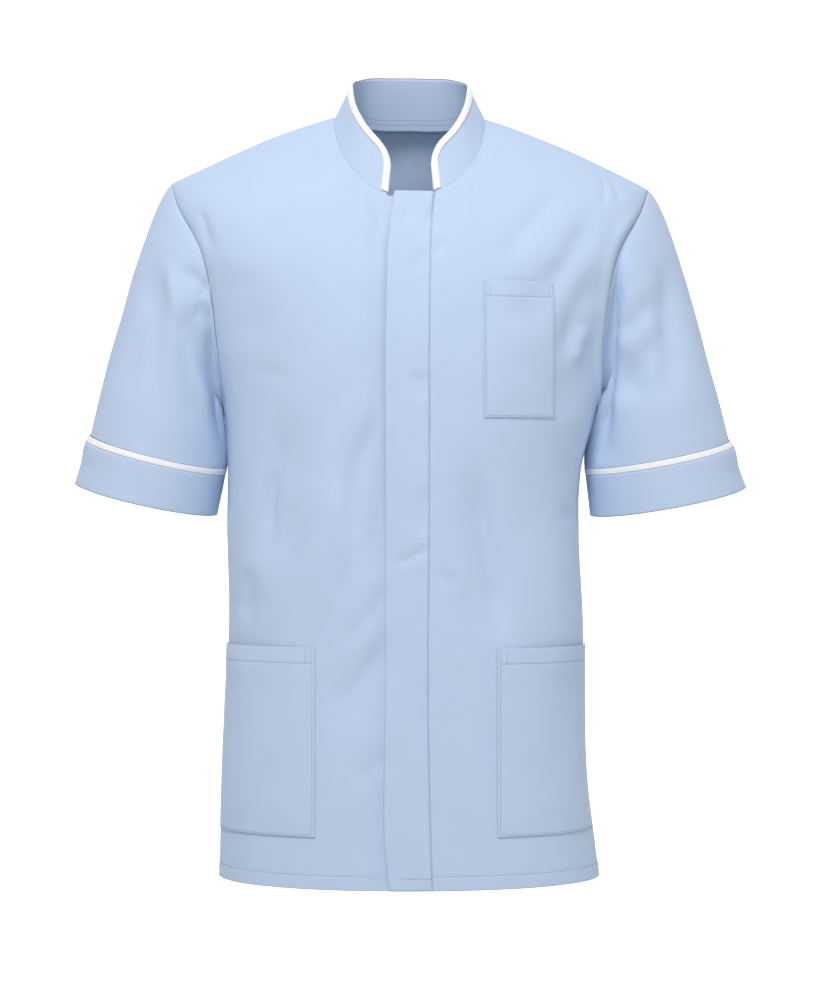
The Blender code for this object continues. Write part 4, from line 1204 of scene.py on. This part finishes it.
def stitches(name, lines):
    """Stitches along lines of places, each with its normals."""
    shape, shape_faces = one_stitch()
    places, faces = [], []
    for points, normals in lines:
        ways = ways_along(points)
        count = max(1, int(ways[-1] / STITCH_PITCH))
        starts = (np.arange(count) + 0.1) * ways[-1] / count
        parts = (starts, starts + STITCH_LENGTH / 2, starts + STITCH_LENGTH)
        first, middle, last = (read_line(part, ways, points) for part in parts)
        along = unit(last - first)
        aside = unit(np.cross(along, read_line(starts, ways, normals)))
        up = np.cross(aside, along)
        axes = np.stack([aside * THREAD, up * THREAD, along * STITCH_LENGTH / 2], axis=1)
        for centre, turned in zip(middle + up * THREAD * 0.5, axes):
            start = len(places) * len(shape)
            places.append(centre + shape @ turned)
            faces += [[start + corner for corner in face] for face in shape_faces]
    mesh = bpy.data.meshes.new(name)
    mesh.from_pydata(np.concatenate(places).tolist(), [], faces)
    mesh.shade_smooth()
    threads[name] = put(name, mesh)
    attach(threads[name], "root")
    print(f"{name}: {len(places)} stitches")


LINE, BOX_LINE = np.linspace(0, 1, 160), np.linspace(0, 0.9, 40)


def placket_line():
    """The line down the placket's stitched edge."""
    from_hem, from_neck = PLACKET_ENDS
    height = np.linspace(from_hem, front_height(PLACKET_TOP_Z) - from_neck, 400)
    x = placket_x("stitched_x", front_z(height)) - PLACKET_STITCH_INSET
    return on_cloth(angle_of_x(x, height), height, stitched_down(0.0 * height, height))


def hem_line(from_angle, to_angle, height=HEM_STITCH):
    """A part of the line above the hem."""
    angle = from_angle + np.linspace(0, 1, 400) * (to_angle - from_angle)
    height = np.full(400, height)
    back = np.cos((from_angle + to_angle) / 2) < 0
    way = way_round(angle, height, start=np.pi if back else 0.0)
    way = way if back else np.sign(angle) * way
    return on_cloth(angle, height, hemmed(way, height))


def pocket_lines(place, width, length, both_sides):
    """The lines round a pocket: down its edges, along its foot and below its mouth."""
    inset, foot, hem = POCKET_INSET / width, POCKET_INSET / length, 1 - POCKET_HEM / length
    box = CORNER_BOX / width
    far = 1 - inset if both_sides else 1.0
    across = inset + LINE * (far - inset)
    edge = foot + LINE * (1 - 0.001 / length - foot)
    corner = hem + BOX_LINE * (1 - hem)
    lines = [(inset, edge), (across, foot), (across, hem), (inset + box, corner)]
    if both_sides:
        lines += [(far, edge), (far - box, corner)]
    return [place(*line, POCKET_WALL) for line in lines]


def stitch_everything():
    stitches("placket_stitching", [placket_line()])
    hem_height = np.array([HEM_STITCH])
    folded, stitched = (
        float(angle_of_x(placket_x(edge, front_z(hem_height)), hem_height)[0])
        for edge in ("folded_x", "stitched_x")
    )
    seam = float(side_seam(HEM_STITCH))
    hems = [
        hem_line(stitched, seam),
        hem_line(-seam, folded - HEM_BESIDE_FOLD),
        hem_line(folded + HEM_BESIDE_FOLD, stitched, HEM_STITCH - PLACKET_HEM_DROP),
        hem_line(2 * np.pi - seam, seam),
    ]
    stitches("hem_stitching", hems)
    for name, (place, width, length, both_sides, _) in PATCHES.items():
        stitches(name + "_stitching", pocket_lines(place, width, length, both_sides))
    inside = []
    ways = np.linspace(COLLAR_ENDS, BAND.end - COLLAR_ENDS, 600)
    for up in COLLAR_LINES:
        points = BAND.at(ways, np.full(600, up), off=np.full(600, -COLLAR_WALL))
        inside.append((points, -BAND.out_at(ways)))
    stitches("collar_stitching", inside)


stitch_everything()

# %% [markdown]
# ## Fabrics
#
# One pale blue twill of polyester and cotton makes the tunic, and a white one its trim. Its
# ribs and yarns are far too fine to model, so they are bumps in the material, at their real
# size along the grain. The thread's darker blue is partly its own tone and partly painted
# shade: the shadow that each stitch has in the groove that it lies in.

# %% Fabrics
CLOTH_BLUE = "#c1d4ee"
# The thread's blue, darkened beyond its own tone: painted shade for the shadow round each stitch
THREAD_BLUE_AND_PAINTED_SHADE = "#8fa4ca"
TRIM_WHITE = "#fafbff"


def linear(hex_colour):
    """An sRGB hex colour as linear red, green, blue and 1."""
    parts = [int(hex_colour[i : i + 2], 16) / 255 for i in (1, 3, 5)]
    return [p / 12.92 if p <= 0.04045 else ((p + 0.055) / 1.055) ** 2.4 for p in parts] + [1.0]


def node(material, kind, inputs=None, **settings):
    """A node in the material, with its settings, and its inputs set or linked."""
    made = material.node_tree.nodes.new(kind)
    for name, value in settings.items():
        setattr(made, name, value)
    for name, value in (inputs or {}).items():
        if isinstance(value, bpy.types.NodeSocket):
            material.node_tree.links.new(value, made.inputs[name])
        else:
            made.inputs[name].default_value = value
    return made


WALE = 0.00065  # from one diagonal rib of the twill to the next
WALE_DEPTH = 0.00004
SLUB, SLUB_DEPTH = 0.0035, 0.00012  # the small unevenness of the yarns
PATCH = 0.045  # how wide the slightly lighter and darker places are


def shaded(colour, share):
    """A colour made lighter or darker by a share."""
    return [min(1.0, part * share) for part in linear(colour)[:3]] + [1.0]


def surface(name, look):
    """A material with these values for its surface, and its shader."""
    material = bpy.data.materials.new(name)
    material.use_nodes = True
    shader = material.node_tree.nodes["Principled BSDF"]
    for part, value in look.items():
        shader.inputs[part].default_value = value
    return material, shader


# Spun fibres scatter the light: the cloth looks dry, with a faint glow where it turns away
DRY_CLOTH = {"Roughness": 0.85, "Specular IOR Level": 0.2, "Sheen Weight": 0.06,
             "Sheen Roughness": 0.5}
# Twisted tighter than the cloth's yarns, so it catches a little more light
THREAD_LOOK = {"Roughness": 0.6, "Specular IOR Level": 0.3}


def twill(name, colour, unevenness=0.03):
    """Poly-cotton twill: diagonal ribs, slightly uneven yarns and a dry, soft surface."""
    material, shader = surface(name, DRY_CLOTH)
    grain = node(material, "ShaderNodeUVMap", uv_map="grain").outputs["UV"]
    waved = {"Vector": grain, "Scale": 0.444 / WALE, "Distortion": 0.6, "Detail": 1.0}
    ribs = node(material, "ShaderNodeTexWave", waved, bands_direction="DIAGONAL")
    slubs = node(material, "ShaderNodeTexNoise", {"Vector": grain, "Scale": 1 / SLUB})
    patches = node(material, "ShaderNodeTexNoise", {"Vector": grain, "Scale": 1 / PATCH})
    tones = {
        "Fac": patches.outputs["Fac"],
        "Color1": shaded(colour, 1 - unevenness),
        "Color2": shaded(colour, 1 + unevenness),
    }
    tone = node(material, "ShaderNodeMixRGB", tones)
    uneven = {"Height": slubs.outputs["Fac"], "Distance": SLUB_DEPTH, "Strength": 0.5}
    yarn = node(material, "ShaderNodeBump", uneven)
    ribbed = {"Height": ribs.outputs["Fac"], "Distance": WALE_DEPTH, "Strength": 0.8}
    rib = node(material, "ShaderNodeBump", {**ribbed, "Normal": yarn.outputs["Normal"]})
    link = material.node_tree.links.new
    link(tone.outputs["Color"], shader.inputs["Base Color"])
    link(rib.outputs["Normal"], shader.inputs["Normal"])
    return material


BLUE_TWILL = twill("Blue poly-cotton twill", CLOTH_BLUE)
WHITE_TWILL = twill("White poly-cotton twill of the trim", TRIM_WHITE, unevenness=0.01)
# The thread's base colour carries painted shade: it is darker for the shadow in each stitch's
# groove
BLUE_THREAD_AND_PAINTED_SHADE, thread_shader = surface("Blue polyester thread and painted shade", THREAD_LOOK)
thread_shader.inputs["Base Color"].default_value = linear(THREAD_BLUE_AND_PAINTED_SHADE)
for name, piece in pieces.items():
    white = "trim" in name
    piece.data.materials.append(WHITE_TWILL if white else BLUE_TWILL)
for line in threads.values():
    line.data.materials.append(BLUE_THREAD_AND_PAINTED_SHADE)
print(f"Blue or white twill on {len(pieces)} panels, blue thread in {len(threads)} seams")

# %% [markdown]
# ## Floor, light and camera
#
# The tunic hangs before a white backdrop, as in the photo: an even white room, one large soft
# box from above on the wearer's right, and weaker ones in front and at both sides.

# %% Floor, light and camera
FLOOR_Z = -2.2
BACKDROP_Y = 5.0
CAMERA_AT = (0.005, -3.2, -0.3645)
LENS_MM, SENSOR_MM = 115.0, 36.0
HORIZON_SHIFT = -0.025
ROOM_LIGHT = 0.31
LIT_POINT = (0, 0, -0.35)
SOFT_BOXES = {  # where each one is, its size and its power
    "key": ((-0.50, -2.1, 2.2), 0.8, 59.0),
    "front": ((0.20, -2.7, 0.6), 0.7, 12.0),
    "right side": ((2.40, -1.0, 0.2), 0.9, 9.0),
    "left side": ((-2.40, -1.0, 0.2), 0.9, 5.0),
}


def stage_sheet(name, size, location, turn, glow):
    """A large plain sheet of the studio: its floor or its backdrop."""
    bpy.ops.mesh.primitive_plane_add(size=size, location=location, rotation=(turn, 0, 0))
    sheet = bpy.context.object
    sheet.name = name
    glowing = {"Emission Color": (1, 1, 1, 1), "Emission Strength": glow}
    look = {"Base Color": (0.86, 0.86, 0.86, 1), "Roughness": 0.9, **glowing}
    sheet.data.materials.append(surface("White paper of the " + name, look)[0])


def studio():
    stage_sheet("floor", 30, (0, 0, FLOOR_Z), 0, 0.0)
    stage_sheet("backdrop", 14, (0, BACKDROP_Y, 2.0), np.pi / 2, 1.0)
    world = bpy.data.worlds.new("White studio")
    bpy.context.scene.world = world
    world.use_nodes = True
    background = world.node_tree.nodes["Background"]
    background.inputs["Color"].default_value = (1, 1, 1, 1)
    background.inputs["Strength"].default_value = ROOM_LIGHT
    bpy.context.scene.view_settings.view_transform = "Standard"
    for name, (at, size, power) in SOFT_BOXES.items():
        soft_light(name, at, size, power)


def soft_light(name, at, size, power):
    """A large soft box that shines from its place towards the tunic's middle."""
    lamp = bpy.data.lights.new(name, "AREA")
    lamp.shape = "SQUARE"
    lamp.size = size
    lamp.energy = power
    placed = put(name, lamp)
    placed.location = at
    heading = Vector(LIT_POINT) - Vector(at)
    placed.rotation_euler = heading.to_track_quat("-Z", "Y").to_euler()


def camera():
    view = bpy.data.cameras.new("camera")
    view.lens = LENS_MM
    view.sensor_width = SENSOR_MM
    view.shift_y = HORIZON_SHIFT
    placed = put("camera", view)
    placed.location = CAMERA_AT
    placed.rotation_euler = (np.pi / 2, 0, 0)
    bpy.context.scene.camera = placed


studio()
camera()
print(f"{len(SOFT_BOXES)} soft boxes, and a {LENS_MM:.0f} mm lens {-CAMERA_AT[1]:.1f} m away")

# %% [markdown]
# ## Sheets and sizes
#
# Each panel was cut flat, so it is listed with the size and area of its flat cut: what shows
# of it, without its seam allowances. A trim goes with the piece that it edges. The last line
# prints how many sheets there are and their whole area.

# %% Sheets and sizes
SHEETS = {  # width, length and area
    "front_left": (0.245, 0.817, 0.1600),
    "front_right": (0.280, 0.817, 0.1860),
    "placket": (0.049, 0.683, 0.0304),
    "back": (0.600, 0.817, 0.3980),
    "sleeve_left": (0.458, 0.265, 0.0691),
    "sleeve_right": (0.459, 0.267, 0.0685),
    "cuff_left": (0.436, 0.0435, 0.0186),
    "cuff_right": (0.413, 0.0440, 0.0175),
    "collar": (0.512, 0.0520, 0.0196),
    "pocket_left": (0.142, 0.183, 0.0259),
    "pocket_right": (0.147, 0.183, 0.0266),
    "pocket_chest": (0.074, 0.133, 0.0097),
}
TRIMS = {"cuff_left": "cuff_trim_left", "cuff_right": "cuff_trim_right", "collar": "collar_trim"}
for name, (width, length, area) in SHEETS.items():
    piece, on_it = pieces[name + "_cloth"], []
    if name in TRIMS:
        on_it.append(pieces[TRIMS[name] + "_cloth"])
print(f"{len(SHEETS)} sheets, {sum(area for _, _, area in SHEETS.values()):.2f} square metres")
